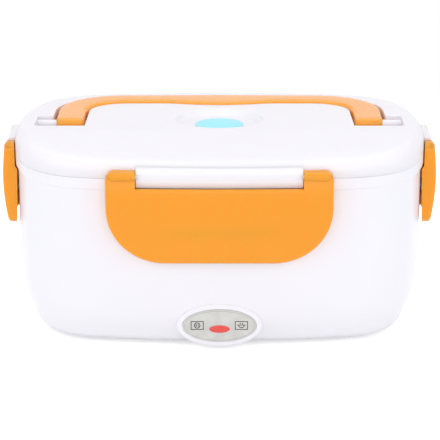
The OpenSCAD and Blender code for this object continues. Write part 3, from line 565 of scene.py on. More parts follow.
# %% Long and short sides
LONG = SimpleNamespace(
    box_r=FRONT_R,  # arc of the box
    face_r=900.0,  # flatter arc of the hinge bar and of the latch's face
    reach=RIM_B,  # from the middle of the box to the outline
    ledge=32.5,  # half length of the catch ledge
    bar=42.5,  # half length of the hinge bar
    half=58.3,  # half width of the latch
    low=50.0,  # lower edge of the latch
    corner=30.0,  # radius of its lower corners
    out=6.93,  # how far its face stands out
)
SHORT = SimpleNamespace(
    box_r=SIDE_R, face_r=300.0, reach=RIM_A, ledge=11.5, bar=14.5, half=23.5, low=54.2, corner=5.0, out=6.16
)
SIDES = [
    # name of the latch, quarter turns from the front, sizes
    ("front_latch", 0, LONG),
    ("right_latch", 1, SHORT),
    ("rear_latch", 2, LONG),
    ("left_latch", 3, SHORT),
]


# %% Catch ledges
def swept(name, material, radius, reach, half, section, steps=24):
    """Bar along an arc in front of the box; the section is (distance outside the outline, height)."""
    turn = math.asin(half / radius)
    rows = []
    for i in range(steps + 1):
        a = turn * (2 * i / steps - 1)
        sine, cosine = math.sin(a), math.cos(a)
        rows.append([((radius + o) * sine, radius - reach - (radius + o) * cosine, z) for o, z in section])
    return solid(name, rows, material)


LEDGE = [(-2.4, 70), (1.4, 70), (1.6, 70.2), (1.6, 70.8), (1.4, 71.1), (-2.4, 74.6)]
ledges = [quarter_turn(swept("ledge", white_gloss, sizes.box_r, sizes.reach, sizes.ledge, LEDGE), turns)
          for _, turns, sizes in SIDES]
base_body = join("base_moulding", [base_body, front_rim, rear_rim] + ledges)
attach(base_body, "base")
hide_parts("base_shell")

# %% [markdown]
# ## Lid
# The lid is the hardest piece: a skirt, a round shoulder, a raised panel whose front is cut by a sloping
# plane, an island, a channel for the handle, and a steam dish. Its top is a height rule: the lowest of
# the shoulder's profile, the front slope and the rear slope, with a small blend where they meet. The
# channel and the dish are holes in that surface with their own walls, so all their edges stay crisp and
# carry the small radius that a real mould has. The hole for the plug's stem is cut at the end.

# %% Height rule of the lid
LID_Z, CREASE_Y, RAMP, FALL = 108.0, 28.0, math.tan(math.radians(5.6)), math.tan(math.radians(2.0))
SHOULDER_R = 6.4
SHOULDER_Z = LID_Z - 4.6 - SHOULDER_R
SIDE_ROUND, SIDE_RISE, SIDE_SLOPE = 8.0, 10.8, 0.5
# inset and height along the front shoulder, and how the full round takes over along X and Y
PROFILE_T = [4.42, 6.5, 9.0, 11.2, 11.9, 12.4, 12.9, 13.6, 15.5, 17.5, 19.5, 24.0]
PROFILE_Z = [103.09, 103.62, 104.03, 104.36, 104.62, 105.05, 105.5, 105.95, 106.95, 107.75, 108.3, 109.6]
FULL_X = [60, 72, 83, 90, 94.4, 97, 99.5]
FULL_PART = [0, 0.11, 0.25, 0.43, 0.57, 0.72, 1]
REAR_FROM, REAR_TO = -40, -10
BLEND, REAR_BLEND = 0.12, 1.2


def front_shoulder(t):
    """Low brow under the front slope."""
    if t < PROFILE_T[0]:
        return SHOULDER_Z + math.sqrt(max(0, SHOULDER_R**2 - (SHOULDER_R - t) ** 2))
    return float(np.interp(t, PROFILE_T, PROFILE_Z))


def side_shoulder(t):
    """Full round that runs up to the top along the sides and the rear."""
    if t < SIDE_ROUND:
        return SHOULDER_Z + SIDE_RISE * math.sqrt(max(0, 1 - (1 - t / SIDE_ROUND) ** 2))
    return SHOULDER_Z + SIDE_RISE + (t - SIDE_ROUND) * SIDE_SLOPE


def fullness(x, y):
    """0 in the middle of the front, 1 along the sides and the rear."""
    return max(float(np.interp(abs(x), FULL_X, FULL_PART)), rearward(y))


def rearward(y):
    return ease(float(np.interp(y, [REAR_FROM, REAR_TO], [0, 1])))


def shoulder(x, y):
    t, full = inset_of(x, y), fullness(x, y)
    return (1 - full) * front_shoulder(t) + full * side_shoulder(t)


def blend_low(a, b, soft):
    """The lower of two heights, rounded off where they are nearly equal."""
    gap = max(soft - abs(a - b), 0) / soft
    return min(a, b) - gap * gap * soft / 4


def lid_height(x, y):
    top = blend_low(LID_Z + (y + CREASE_Y) * RAMP, LID_Z - (y + CREASE_Y) * FALL, BLEND)
    return blend_low(top, shoulder(x, y), BLEND + REAR_BLEND * rearward(y))


print("lid height at the crease:", round(lid_height(0, -28), 2),
      "at the rear edge:", round(lid_height(0, 66), 2))

# %% Plan of the channel
ARM_X, ISLAND_X, ISLAND_Y, HANDLE_Y, HANDLE_R = 90.1, 73.0, 43.5, 59.5, 34.0
CORNER_IN, GRIP_HALF, GRIP_OUT, PIVOT_Y, PIVOT_Z = 21.0, 30.0, 5.0, -5.0, 103.2
POCKET_Y, POCKET_X, POCKET_L, CHANNEL_Z, CHANNEL_GAP = 16.4, 100.4, 26.0, 99.2, 1.8


def bulge(x):
    """How far the finger grip in the middle of the handle's bar stands inwards."""
    if abs(x) >= GRIP_HALF:
        return 0.0
    return GRIP_OUT * math.cos(math.pi / 2 * abs(x) / GRIP_HALF) ** 1.2


def mirrored(points):
    """Adds the left half to a right half that ends on the middle line."""
    return points + [(-x, y) for x, y in reversed(points[:-1])]


def channel_plan():
    side, back, round_r = ARM_X + CHANNEL_GAP, POCKET_L - POCKET_Y, 0.8
    outside = [(x, -POCKET_Y) for x in np.linspace(ISLAND_X + 2, POCKET_X - round_r - 0.2, 70)]
    outside += arc(POCKET_X - round_r, -POCKET_Y + round_r, round_r, -90, 0, 4)
    outside += [(POCKET_X, y) for y in np.linspace(1.2 - POCKET_Y, back - 1.2, 15)]
    outside += arc(POCKET_X - round_r, back - round_r, round_r, 0, 90, 4)
    outside += [(x, back) for x in np.linspace(POCKET_X - round_r - 0.2, side + round_r + 0.2, 30)]
    outside += list(reversed(arc(side + round_r, back + round_r, round_r, 180, 270, 3)))
    outside += [(side, y) for y in np.linspace(back + 3, HANDLE_Y - HANDLE_R - 2, 6)]
    outside += arc(ARM_X - HANDLE_R, HANDLE_Y - HANDLE_R, HANDLE_R + CHANNEL_GAP, 0, 90, 22)
    bar_half = ARM_X - HANDLE_R
    outside += [(x, HANDLE_Y + CHANNEL_GAP + 1 - x / bar_half) for x in np.linspace(bar_half - 5, 0, 12)]
    island = [(ISLAND_X, y) for y in np.linspace(-POCKET_Y, ISLAND_Y - CORNER_IN - 3, 10)]
    island += arc(ISLAND_X - CORNER_IN, ISLAND_Y - CORNER_IN, CORNER_IN, 0, 90, 16)
    island += [(x, ISLAND_Y - bulge(x)) for x in np.linspace(ISLAND_X - CORNER_IN - 3, 0, 36)]
    return mirrored(outside) + list(reversed(mirrored(island)))


channel = channel_plan()
DISH_R, DISH_Y, DISH_Z, DISH_DRAW = 24.2, 2.0, 102.95, 0.17
dish = circle(DISH_R, 96, 0.0, DISH_Y)
print("points round the channel:", len(channel))

# %% Edges of the channel and the dish
EDGE, FLOOR_EDGE = 0.5, 0.4


def on_lid(points, below=0.0):
    """Points on the lid's top, or a step below it."""
    return [(x, y, lid_height(x, y) - below) for x, y in points]


def rounded_edge(ring, steps):
    """Loops that round the edge from the lid's top into the wall of a recess."""
    return [on_lid(offset(ring, EDGE * (1 - math.sin(a))), EDGE * (1 - math.cos(a)))
            for a in np.linspace(0, math.pi / 2, steps)]


# %% Lid moulding
UNDER_IN, UNDER_Z = 2.5, 96.6
TOP_GRID, CHANNEL_GRID = 2.6, 4.0  # spacing of the inner points
lid = Moulding()
skirt = [(UNDER_IN, UNDER_Z), (UNDER_IN, RIM_Z + 0.2), (2.3, RIM_Z), (0.4, RIM_Z), (0.12, RIM_Z + 0.12)]
skirt += [(0, RIM_Z + 0.4), (0, 95.0), (0, 96.0)]
top_insets = [SHOULDER_R * (1 - math.cos(a)) for a in np.linspace(0, math.radians(70), 12)] + [5.2, 6.2]
crease_insets = [6.7, 7.2, 7.7, 8.2, 8.8, 9.4, 10.0, 10.6, 11.2]
crease_insets += [11.55, 11.9, 12.15, 12.4, 12.65, 12.9, 13.2, 13.6]
lid.stack([at_height(outline(t), z) for t, z in skirt] + [on_lid(outline(t)) for t in top_insets])
lid.fill(outline(top_insets[-1]), [offset(channel, EDGE), offset(dish, EDGE)],
         lambda x, y: (x, y, lid_height(x, y)), TOP_GRID, [outline(t) for t in crease_insets])
channel_floor = offset(channel, -FLOOR_EDGE)
lid.stack(rounded_edge(channel, 5)
          + [at_height(channel, CHANNEL_Z + FLOOR_EDGE), at_height(channel_floor, CHANNEL_Z)])
lid.fill(channel_floor, [], lambda x, y: (x, y, CHANNEL_Z), CHANNEL_GRID)
rows = rounded_edge(dish, 6)
for k in np.linspace(0.15, 1, 10):
    drop, scale = math.sin(k * math.pi / 2), 1 - DISH_DRAW * k
    ring = [(x * scale, DISH_Y + (y - DISH_Y) * scale) for x, y in dish]
    rows.append([(x, y, (lid_height(x, y) - EDGE) * (1 - drop) + DISH_Z * drop) for x, y in ring])
dish_floor = lid.stack(rows)[-1]
underside = lid.loop(at_height(outline(UNDER_IN), UNDER_Z))
lid.faces += [tuple(dish_floor), tuple(underside)]
lid_body = lid.piece("lid_moulding", white_lid, smooth=32)

# %% Hole for the plug's stem
STEM_R, STEM_GAP = 5.0, 0.3
vent_ring = circle(STEM_R + STEM_GAP, 48, 0.0, DISH_Y)
cut(lid_body, solid("vent_hole", [at_height(vent_ring, 90.0), at_height(vent_ring, DISH_Z + 1.5)], white_lid))

# %% [markdown]
# Each latch hangs on a bar along the lid's edge. The bar bulges with a wide radius, its top is rounded,
# and its foot reaches over the base's band. A peg at each end carries the latch. The horns of the latch
# turn inside a small hollow in the shoulder, which is cut here with a cylinder at each end of each bar.

# %% Hinge bars, pegs and horn hollows
HINGE_Z, HINGE_OUT, HORN_R = 96.5, 2.0, 2.6  # axis of the latches, and the round of their horns
PEG_R, PEG_IN, PEG_LONG, HOLLOW_R = 1.3, 1, 4, HORN_R + 0.5
STUD_R, STUD_HOLE_R = 2.2, 2.26  # the handle's stud and its hole


def rod(x0, x1, y, z, r):
    """Closed cylinder along X, between two places in any order."""
    ring = circle(r, 40, y, z)
    return solid("rod", [[(x, p, q) for p, q in ring] for x in sorted((x0, x1))], white_lid)


bar_section = [(0.4, 93.7), (0.4, 90.7), (0.7, 90.4), (2.6, 90.4), (2.95, 90.65), (3.85, 93.4), (4.0, 93.9)]
bar_section += arc(1.0, 97.5, 3.0, 0, 90, 9)
bar_section += [(-2.5, 100.5), (-5.0, 100.7), (-5.0, 97.2), (-2.2, 97.2), (-2.2, 93.9), (0.4, 93.9)]
bars = []
for _, turns, sizes in SIDES:
    hinge_y = -sizes.reach - HINGE_OUT
    for side in (-1, 1):
        hollow = rod(side * (sizes.bar - 0.01), side * (sizes.half + 0.4), hinge_y, HINGE_Z, HOLLOW_R)
        cut(lid_body, quarter_turn(hollow, turns))
        peg = rod(side * (sizes.bar - PEG_IN), side * (sizes.bar + PEG_LONG), hinge_y, HINGE_Z, PEG_R)
        bars.append(quarter_turn(peg, turns))
    bar = swept("bar", white_lid, sizes.face_r, sizes.reach, sizes.bar, bar_section)
    bars.append(quarter_turn(bar, turns))
for side in (-1, 1):
    bars.append(rod(side * (POCKET_X + 1), side * (ARM_X - 4.5), -PIVOT_Y, PIVOT_Z, STUD_R))
lid_body = join("lid_moulding", [lid_body] + bars, smooth=32)
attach(lid_body, "lid")
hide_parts("lid_shell")

# %% [markdown]
# ## Handle
# The handle is a bow with two arms and a bar. Its section changes along the way: it is a rounded slab in
# the arms, wider round the corners, and the bar bulges inwards where fingers go under it. Its outer side
# slopes out towards the foot. A loft does this best: a section is placed at many stations along the bow
# and neighbouring sections are joined.

# %% Stations along the bow
HANDLE_T, HANDLE_GAP = 6.8, 1.6
NOSE_R = HANDLE_T / 2
NOSE_INNER, NOSE_OUTER = 0.9, 2.0
ARM_IN = ISLAND_X + HANDLE_GAP
ARM_END = ISLAND_Y - CORNER_IN
HANDLE_TURN = HANDLE_Y - HANDLE_R
INNER_X, OUTER_X = ISLAND_X - CORNER_IN, ARM_X - HANDLE_R
stations = []
for k in range(1, 9):
    a = math.pi / 2 * (1 - k / 8.4)
    y = -PIVOT_Y - NOSE_R * math.sin(a)
    narrow = 1 - math.cos(a)
    stations.append(((ARM_IN + NOSE_INNER * narrow, y), (ARM_X - NOSE_OUTER * narrow, y),
                     NOSE_R * math.cos(a)))
for k in range(6):
    t = k / 6
    stations.append(((ARM_IN, -PIVOT_Y + (ARM_END + PIVOT_Y) * t),
                     (ARM_X, -PIVOT_Y + (HANDLE_TURN + PIVOT_Y) * t), NOSE_R))
inner_r = CORNER_IN + HANDLE_GAP
for k in range(25):
    a = math.pi / 2 * k / 24
    stations.append(((INNER_X + inner_r * math.cos(a), ARM_END + inner_r * math.sin(a)),
                     (OUTER_X + HANDLE_R * math.cos(a), HANDLE_TURN + HANDLE_R * math.sin(a)), NOSE_R))
for k in range(1, 31):
    t = 1 - k / 30
    stations.append(((INNER_X * t, ISLAND_Y + HANDLE_GAP - bulge(INNER_X * t)),
                     (OUTER_X * t, HANDLE_Y + 1 - t), NOSE_R))
print("stations on half of the bow:", len(stations))

# %% Section of the bow and the loft
FOOT_OUT, SMALL_R, OUTER_TOP_R, FINGER_R = 0.9, 1.1, 1.7, 2.8


def bow_section(inner_point, outer_point, half):
    """Rounded slab whose outer side slopes: a wide round where fingers go, and small ones elsewhere."""
    a, b = Vector(inner_point), Vector(outer_point)
    width = (b - a).length
    along = (b - a) / width
    k = min(1, half / NOSE_R)
    small, outer, finger = SMALL_R * k, OUTER_TOP_R * k, FINGER_R * k
    flat = []
    for cx, cz, r, start in ((width + FOOT_OUT * k - small, small - half, small, -90),
                             (width - outer, half - outer, outer, 0),
                             (finger, half - finger, finger, 90),
                             (small, small - half, small, 180)):
        flat += arc(cx, cz, r, start, start + 90, 6)
    return [(a.x + along.x * u, a.y + along.y * u, PIVOT_Z + z) for u, z in flat]


half_bow = [bow_section(*station) for station in stations]
other_half = [[(-x, y, z) for x, y, z in section] for section in reversed(half_bow[:-1])]
handle = solid("handle_bow", half_bow + other_half, orange_bow, smooth=50)
for side in (-1, 1):
    cut(handle, rod(side * (ARM_X - 5), side * (ARM_X + 5), -PIVOT_Y, PIVOT_Z, STUD_HOLE_R))
soften(handle, 50)
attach(handle, "handle_body")
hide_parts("handle")

# %% [markdown]
# ## Latches
# A latch is a bulged plate with a skirt round its edge. Two horns at the top reach past the lid's bar and
# turn on its pegs. The front view gives the plate's contour. The contour is set in step by step to round
# the edge, and the middle is filled and bulged. Then the space for the wall, the hollow of the back and a
# notch for the bar are cut. The notch's lower edge has a rounded lip.


# %% Horn of a latch
HORN_CORNER, HORN_PLAY = 4.5, 0.02


def horn(inner_end, outer_end, y):
    """Round horn whose outer end follows the rounded corner of the latch's contour."""
    side = 1 if outer_end > inner_end else -1
    widest = HORN_R - HORN_PLAY
    rows = [(inner_end, HORN_R - 0.3), (inner_end + side * 0.3, widest)]
    for s in (4.5, 3.6, 2.8, 2.1, 1.5, 1.0, 0.6):
        r = HORN_R - HORN_CORNER + math.sqrt(HORN_CORNER**2 - (HORN_CORNER - s) ** 2)
        rows.append((outer_end - side * s, min(r, widest)))
    return solid("horn", [[(x, p, q) for p, q in circle(r, 40, y, HINGE_Z)] for x, r in rows], orange_gloss)


# %% Face and contour of a latch
PLATE_Z, SPREAD_UP, SPREAD_DOWN = 80.0, 164.0, 250.0  # where the face is fullest, and how flat it is
TOP_OUT, TOP_R = 1.75, 3.21  # centre and radius of the round over the hinge axis
TOP_REACH, TOP_BLEND = 3.15, 8.0  # reach of that round at the axis, and the height that leads into it


def face_out(out, z):
    """Bulge of the plate: how far its face stands out from the outline at a height."""
    if z > HINGE_Z:
        return TOP_OUT + math.sqrt(max(0.0, TOP_R**2 - (z - HINGE_Z - HORN_R + TOP_R) ** 2))
    face = out - (z - PLATE_Z) ** 2 / (SPREAD_UP if z > PLATE_Z else SPREAD_DOWN)
    at_axis = out - (HINGE_Z - PLATE_Z) ** 2 / SPREAD_UP
    part = max(0.0, (z - HINGE_Z + TOP_BLEND) / TOP_BLEND)
    return face - (at_axis - TOP_OUT - TOP_REACH) * ease(part)


def latch_contour(half, low, r, horn_top):
    flat, upright = half - HORN_CORNER, horn_top - HORN_CORNER
    ring = arc(-half + r, low + r, r, 180, 270, 20) + arc(half - r, low + r, r, 270, 360, 20)
    ring += [(half, z) for z in np.linspace(low + r, upright, 8)[1:-1]]
    ring += arc(flat, upright, HORN_CORNER, 0, 90, 8)
    ring += [(x, horn_top) for x in np.linspace(flat, -flat, 30)[1:-1]]
    ring += arc(-flat, upright, HORN_CORNER, 90, 180, 8)
    ring += [(-half, z) for z in np.linspace(upright, low + r, 8)[1:-1]]
    return ring


# %% Square ends for a cutter
def trim(obj, half):
    """Cuts a mesh square at x = -half and x = half."""
    with editing(obj.data) as work:
        for side in (-1, 1):
            everything = work.verts[:] + work.edges[:] + work.faces[:]
            bmesh.ops.bisect_plane(work, geom=everything, plane_co=(side * half * MM, 0, 0),
                                   plane_no=(side, 0, 0), clear_outer=True)
            bmesh.ops.edgeloop_fill(work, edges=[edge for edge in work.edges if edge.is_boundary])
        bmesh.ops.recalc_face_normals(work, faces=work.faces)


# %% One latch
EDGE_R, SKIN_T, SKIRT_DEEP = 1.3, 2.4, 6.0
WALL_GAP, LEDGE_GAP = 0.35, 1.85
BACK_IN, BACK_TOP, HOLLOW_DEEP = 2.2, 87.5, 8  # the hollow's inset, top and depth behind the outline
LIP_Z, DEEP = 89.8, -20  # lip of the notch, and how far the cutters reach into the box
FACE_GRID, BACK_GRID = 2.6, 3.0


def latch_piece(name, turns, sizes):
    box_r, face_r, reach, half = sizes.box_r, sizes.face_r, sizes.reach, sizes.half
    ring = latch_contour(half, sizes.low, sizes.corner, HINGE_Z + HORN_R + 0.01)

    def skin(x, z, depth=0.0):
        """Point of the face, or a step behind it."""
        return (x, face_r - reach - math.sqrt((face_r + face_out(sizes.out, z)) ** 2 - x * x) + depth, z)

    body = Moulding()
    rows = [[skin(x, z, EDGE_R * (1 - math.sin(a))) for x, z in offset(ring, -EDGE_R * (1 - math.cos(a)))]
            for a in np.linspace(math.pi / 2, 0, 6)]
    rows.append([(x, -reach + SKIRT_DEEP + x * x / (2 * box_r), z) for x, z in ring])
    loops = body.stack(rows)
    body.fill(offset(ring, -EDGE_R), [], skin, FACE_GRID)
    body.faces.append(tuple(loops[-1]))
    plate = body.piece(name, orange_gloss, smooth=50)

    # the space for the wall and for the catch ledge
    under, over = sizes.low - 1, HINGE_Z + 6
    wall_room = [(DEEP, under), (WALL_GAP, under), (-0.5, 84.9), (0.7, 86.9), (0.7, over), (DEEP, over)]
    cut(plate, swept("wall_room", orange_gloss, box_r, reach, half + 12, wall_room, 32))
    ledge_room = [(DEEP, under), (LEDGE_GAP, under), (LEDGE_GAP, 70.0), (DEEP, 70.0)]
    cut(plate, swept("ledge_room", orange_gloss, box_r, reach, sizes.ledge + 1, ledge_room))

    # the hollow back
    back = [(x, min(z, BACK_TOP)) for x, z in offset(ring, -BACK_IN)]
    keep = [back[0]] + [p for p, q in zip(back[1:], back) if math.hypot(p[0] - q[0], p[1] - q[1]) > 0.01]
    hollow = Moulding()
    deep = hollow.loop([(x, -reach + HOLLOW_DEEP, z) for x, z in keep])
    near = hollow.loop([skin(x, z, SKIN_T) for x, z in keep])
    hollow.band(deep, near)
    hollow.faces.append(tuple(reversed(deep)))
    hollow.fill(keep, [], lambda x, z: skin(x, z, SKIN_T), BACK_GRID)
    cut(plate, hollow.piece("hollow", orange_gloss))

    # the notch for the hinge bar, then the horns beside it and the hook
    gap = sizes.bar + 0.5
    lip, inner, outer = face_out(sizes.out, LIP_Z), face_out(sizes.out, BACK_TOP) - SKIN_T, sizes.out + 5
    slot = [(DEEP, 87), (inner, 87), (3.9, 88.7), (3.9, 90.5), (lip - 0.8, 90.4), (lip - 0.3, 90.15),
            (lip + 0.05, 89.6), (lip + 0.5, 89.0), (outer, 86.6), (outer, 110), (DEEP, 110)]
    cutter = swept("slot", orange_gloss, face_r, reach, gap + 4, slot, 32)
    trim(cutter, gap)
    cut(plate, cutter)
    horns = [horn(side * gap, side * half, -reach - HINGE_OUT) for side in (-1, 1)]
    hook_out = face_out(sizes.out, 70) - 1.0
    hook_section = [(LEDGE_GAP, 69.4), (hook_out, 69.7), (hook_out, 65.6), (LEDGE_GAP, 67.0)]
    hook = swept("hook", orange_gloss, box_r, reach, sizes.bar - 12, hook_section)
    return quarter_turn(join(name, [plate] + horns + [hook], smooth=38), turns)


# %% The four latches
for name, turns, sizes in SIDES:
    piece = latch_piece(name.replace("_latch", "_clip"), turns, sizes)
    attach(piece, name + "_body")
    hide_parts(name)

# %% [markdown]
# ## Vent plug
# The plug is a low dome of soft silicone on a stem. It is turned about its axis, and the underside of its
# brim is flat, so that it seals on the dish.

# %% Vent plug
PLUG_R, PLUG_RISE = 13.2, 2.0


def turned(name, profile, material, body=None, middle=0.0, steps=48, smooth=40):
    """Piece turned about an upright axis, from (radius, height) pairs."""
    shape = Moulding()
    shape.stack([at_height(circle(r, steps, 0.0, middle), z) for r, z in profile])
    return shape.piece(name, material, body, smooth=smooth)


plug_low = DISH_Z + 0.15
profile = [(0.01, plug_low - 4), (STEM_R - 0.5, plug_low - 4), (STEM_R, plug_low - 3.5), (STEM_R, plug_low),
           (PLUG_R - 0.6, plug_low), (PLUG_R - 0.2, plug_low + 0.15), (PLUG_R, plug_low + 0.5)]
for k in np.linspace(0, 1, 14):
    profile.append((PLUG_R * (1 - k) + 0.01, plug_low + 0.6 + PLUG_RISE * (1 - (1 - k) ** 2)))
vent_plug = turned("vent_plug_dome", profile, aqua_silicone, "vent_plug_body", DISH_Y, 80, 50)
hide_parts("vent_plug")

# %% [markdown]
# ## Badge
# The badge is a thin oval plate with a fine grained silver face, a dark keyline, a red lens and two small
# framed signs, one for the plug and one for the food. It has no lettering.

# %% Badge plate and keyline
rows = [(BADGE_A, BADGE_B, BEZEL_Y - 0.5), (BADGE_A, BADGE_B, BEZEL_Y - 0.02),
        (BADGE_A - 0.12, BADGE_B - 0.12, BEZEL_Y + 0.1)]
badge_plate = solid("badge_face", oval_stack(BADGE_Z, rows), badge_silver, "base")
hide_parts("badge_plate")
LINE_A, LINE_B, LINE_W, LINE_Y = BADGE_A - 0.7, BADGE_B - 0.7, 0.18, BEZEL_Y + 0.13
rows = [(LINE_A, LINE_B, LINE_Y - 0.05), (LINE_A, LINE_B, LINE_Y), (LINE_A - LINE_W, LINE_B - LINE_W, LINE_Y),
        (LINE_A - LINE_W, LINE_B - LINE_W, LINE_Y - 0.05)]
line = Moulding()
line.stack(oval_stack(BADGE_Z, rows + rows[:1]))
keyline = line.piece("badge_keyline", badge_line, "base")

# %% Lens
LENS_Z, LENS_A, LENS_B, LENS_ROUND, LENS_DOME = BADGE_Z - 1.8, 5.4, 2.1, 0.9, 0.3
rows = [(LENS_A, LENS_B, BEZEL_Y - 0.4), (LENS_A, LENS_B, BEZEL_Y + 0.2)]
for a in np.linspace(0.3, math.pi / 2, 5):
    drawn = LENS_ROUND * (1 - math.cos(a))
    rows.append((LENS_A - drawn, LENS_B - drawn, BEZEL_Y + 0.2 + LENS_DOME * math.sin(a)))
lens_piece = solid("lens_cap", oval_stack(LENS_Z, rows), lens_red, "base")
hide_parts("lamp_lens")


# %% Framed signs
STROKE_W, SIGN_Z = 0.42, BADGE_Z + 0.2


def stroke(x0, z0, x1, z1):
    """Corners of a flat bar between two points on the badge."""
    d = Vector((x1 - x0, z1 - z0)).normalized() * STROKE_W / 2
    n = Vector((-d.y, d.x))
    return [(x0 - d.x - n.x, z0 - d.y - n.y), (x1 + d.x - n.x, z1 + d.y - n.y),
            (x1 + d.x + n.x, z1 + d.y + n.y), (x0 - d.x + n.x, z0 - d.y + n.y)]


def sign(name, cx, strokes):
    mark = Moulding()
    for ends in strokes:
        corners = [(cx + x, SIGN_Z + z) for x, z in stroke(*ends)]
        mark.closed_stack([[(x, -(BEZEL_Y + out), z) for x, z in corners] for out in (0.06, 0.14)])
    piece = mark.piece(name, badge_ink, "base", weld=0.0)


def framed(a, b):
    return [(-a, -b, a, -b), (a, -b, a, b), (a, b, -a, b), (-a, b, -a, -b)]


def ring_of(r, cz=0.0, start=0, end=360, steps=16):
    """Strokes along a ring or a part of one."""
    points = arc(0.0, cz, r, start, end, steps)
    return [(*a, *b) for a, b in zip(points, points[1:])]


plug_marks = ring_of(1.45) + [(-0.5, 0.45, -0.5, -0.45), (0.5, 0.45, 0.5, -0.45)]
bowl_marks = ring_of(1.5, 0.25, 180, 360, 10)
bowl_marks += [(-1.9, 0.25, 1.9, 0.25), (-0.6, 0.8, -0.6, 1.35), (0.6, 0.8, 0.6, 1.35)]
sign("plug_sign", -11.7, framed(3.2, 2.2) + plug_marks)
sign("food_sign", 11.5, framed(3.2, 2.2) + bowl_marks)

# %% [markdown]
# ## Food tray and side dish
# The tray repeats the cavity's wall with a gap all round. Its divider stands on the floor. The side dish
# has tight corners by the divider and wide ones at the end.

# %% Tray
TRAY_Z, TRAY_T, TRAY_GAP, FLANGE = 26.8, 1.6, 0.8, 1.6
TRAY_BEND, FLANGE_Z = TRAY_Z + CAVITY_ROUND, LEDGE_Z + FLANGE
DIVIDER_X, DIVIDER_Z, DIVIDER_HALF = 20.0, 78.0, 0.8
tray_foot = cavity_in(TRAY_BEND) + TRAY_GAP
tray_levels = rounded(tray_foot + CAVITY_ROUND, TRAY_BEND, CAVITY_ROUND, -90, 0, 8)
tray_levels += [(cavity_in(z) + TRAY_GAP, z) for z in np.linspace(TRAY_BEND + 2, LEDGE_Z, 12)]
tray_levels += [(2.6, LEDGE_Z), (2.5, LEDGE_Z + 0.3), (2.5, FLANGE_Z - 0.4), (2.8, FLANGE_Z - 0.1)]
tray_levels += [(3.2, FLANGE_Z), (5.8, FLANGE_Z), (6.2, FLANGE_Z - 0.15), (6.4, FLANGE_Z - 0.5)]
tray_levels += [(cavity_in(z) + TRAY_GAP + TRAY_T, z) for z in np.linspace(LEDGE_Z - 1, TRAY_BEND + 2, 12)]
tray_levels += rounded(tray_foot + CAVITY_ROUND, TRAY_BEND, CAVITY_ROUND - TRAY_T, 0, -90, 8)
tray_piece = solid("tray_moulding", [at_height(outline(t), z) for t, z in tray_levels], food_white)


def food_inset(z):
    """Inset of the tray's inner face at a height."""
    if z < TRAY_BEND:
        r = CAVITY_ROUND - TRAY_T
        return tray_foot + TRAY_T + r - math.sqrt(max(0.0, r * r - min(TRAY_BEND - z, r) ** 2))
    return cavity_in(z) + TRAY_GAP + TRAY_T


def edge_y(x, inset):
    """Where a line across the box meets the outline at an inset."""
    return RIM_B - FRONT_R + math.sqrt((FRONT_R - inset) ** 2 - x * x)


side_points = [(edge_y(DIVIDER_X, food_inset(z)) + 0.3, z)
               for z in np.linspace(TRAY_Z + TRAY_T - 0.2, DIVIDER_Z - 0.5, 20)]
side_points.append((side_points[-1][0] - 0.1, DIVIDER_Z - 0.1))
section = side_points + [(-y, z) for y, z in reversed(side_points)]
loops = [[(DIVIDER_X + dx, y, z) for y, z in section] for dx in (-DIVIDER_HALF, DIVIDER_HALF)]
tray_piece = join("tray_moulding", [tray_piece, solid("divider", loops, food_white)], smooth=40)
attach(tray_piece, "tray")
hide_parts("food_tray")

# %% Side dish and its cover
DISH_X0, DISH_X1, DISH_HALF, BOX_Z, BOX_H, BOX_T = 26.0, 93.0, 54.0, 28.8, 40.0, 1.5
WIDE_R, TIGHT_R = 30, 10


def dish_plan(d):
    x0, x1 = DISH_X0 + TIGHT_R, DISH_X1 - WIDE_R
    tight_y, wide_y = DISH_HALF - TIGHT_R, DISH_HALF - WIDE_R
    ring = arc(x1, wide_y, WIDE_R - d, 0, 90, 18) + arc(x0, tight_y, TIGHT_R - d, 90, 180, 10)
    return ring + arc(x0, -tight_y, TIGHT_R - d, 180, 270, 10) + arc(x1, -wide_y, WIDE_R - d, 270, 360, 18)


def dish_stack(levels):
    return [at_height(dish_plan(d), z) for d, z in levels]


top = BOX_Z + BOX_H
box_levels = [(4.6, BOX_Z), (3.0, BOX_Z + 0.5), (2.0, BOX_Z + 1.5), (1.6, BOX_Z + 3), (1.6, top - 3)]
box_levels += [(0.2, top - 3), (0, top - 2.8), (0, top - 0.3), (0.3, top), (2.8, top), (3.1, top - 0.3)]
box_levels += [(3.1, BOX_Z + 4.2), (3.5, BOX_Z + 2.6), (4.4, BOX_Z + 1.8), (5.6, BOX_Z + BOX_T)]
box_piece = solid("side_dish_box", dish_stack(box_levels), food_white, "dish")
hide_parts("side_dish")
cover_levels = [(5.0, top), (5.0, top - 3), (4.7, top - 3), (3.7, top - 3), (3.4, top - 2.6), (3.4, top)]
cover_levels += [(0.2, top), (0, top + 0.2), (0, top + 1.2), (0.4, top + 1.6), (6, top + 1.6)]
cover_levels += [(6.6, top + 1.2), (7.2, top + 1.0)]
cover_piece = solid("side_dish_cover", dish_stack(cover_levels), orange_gloss, "dish_cover")
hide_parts("side_dish_lid")
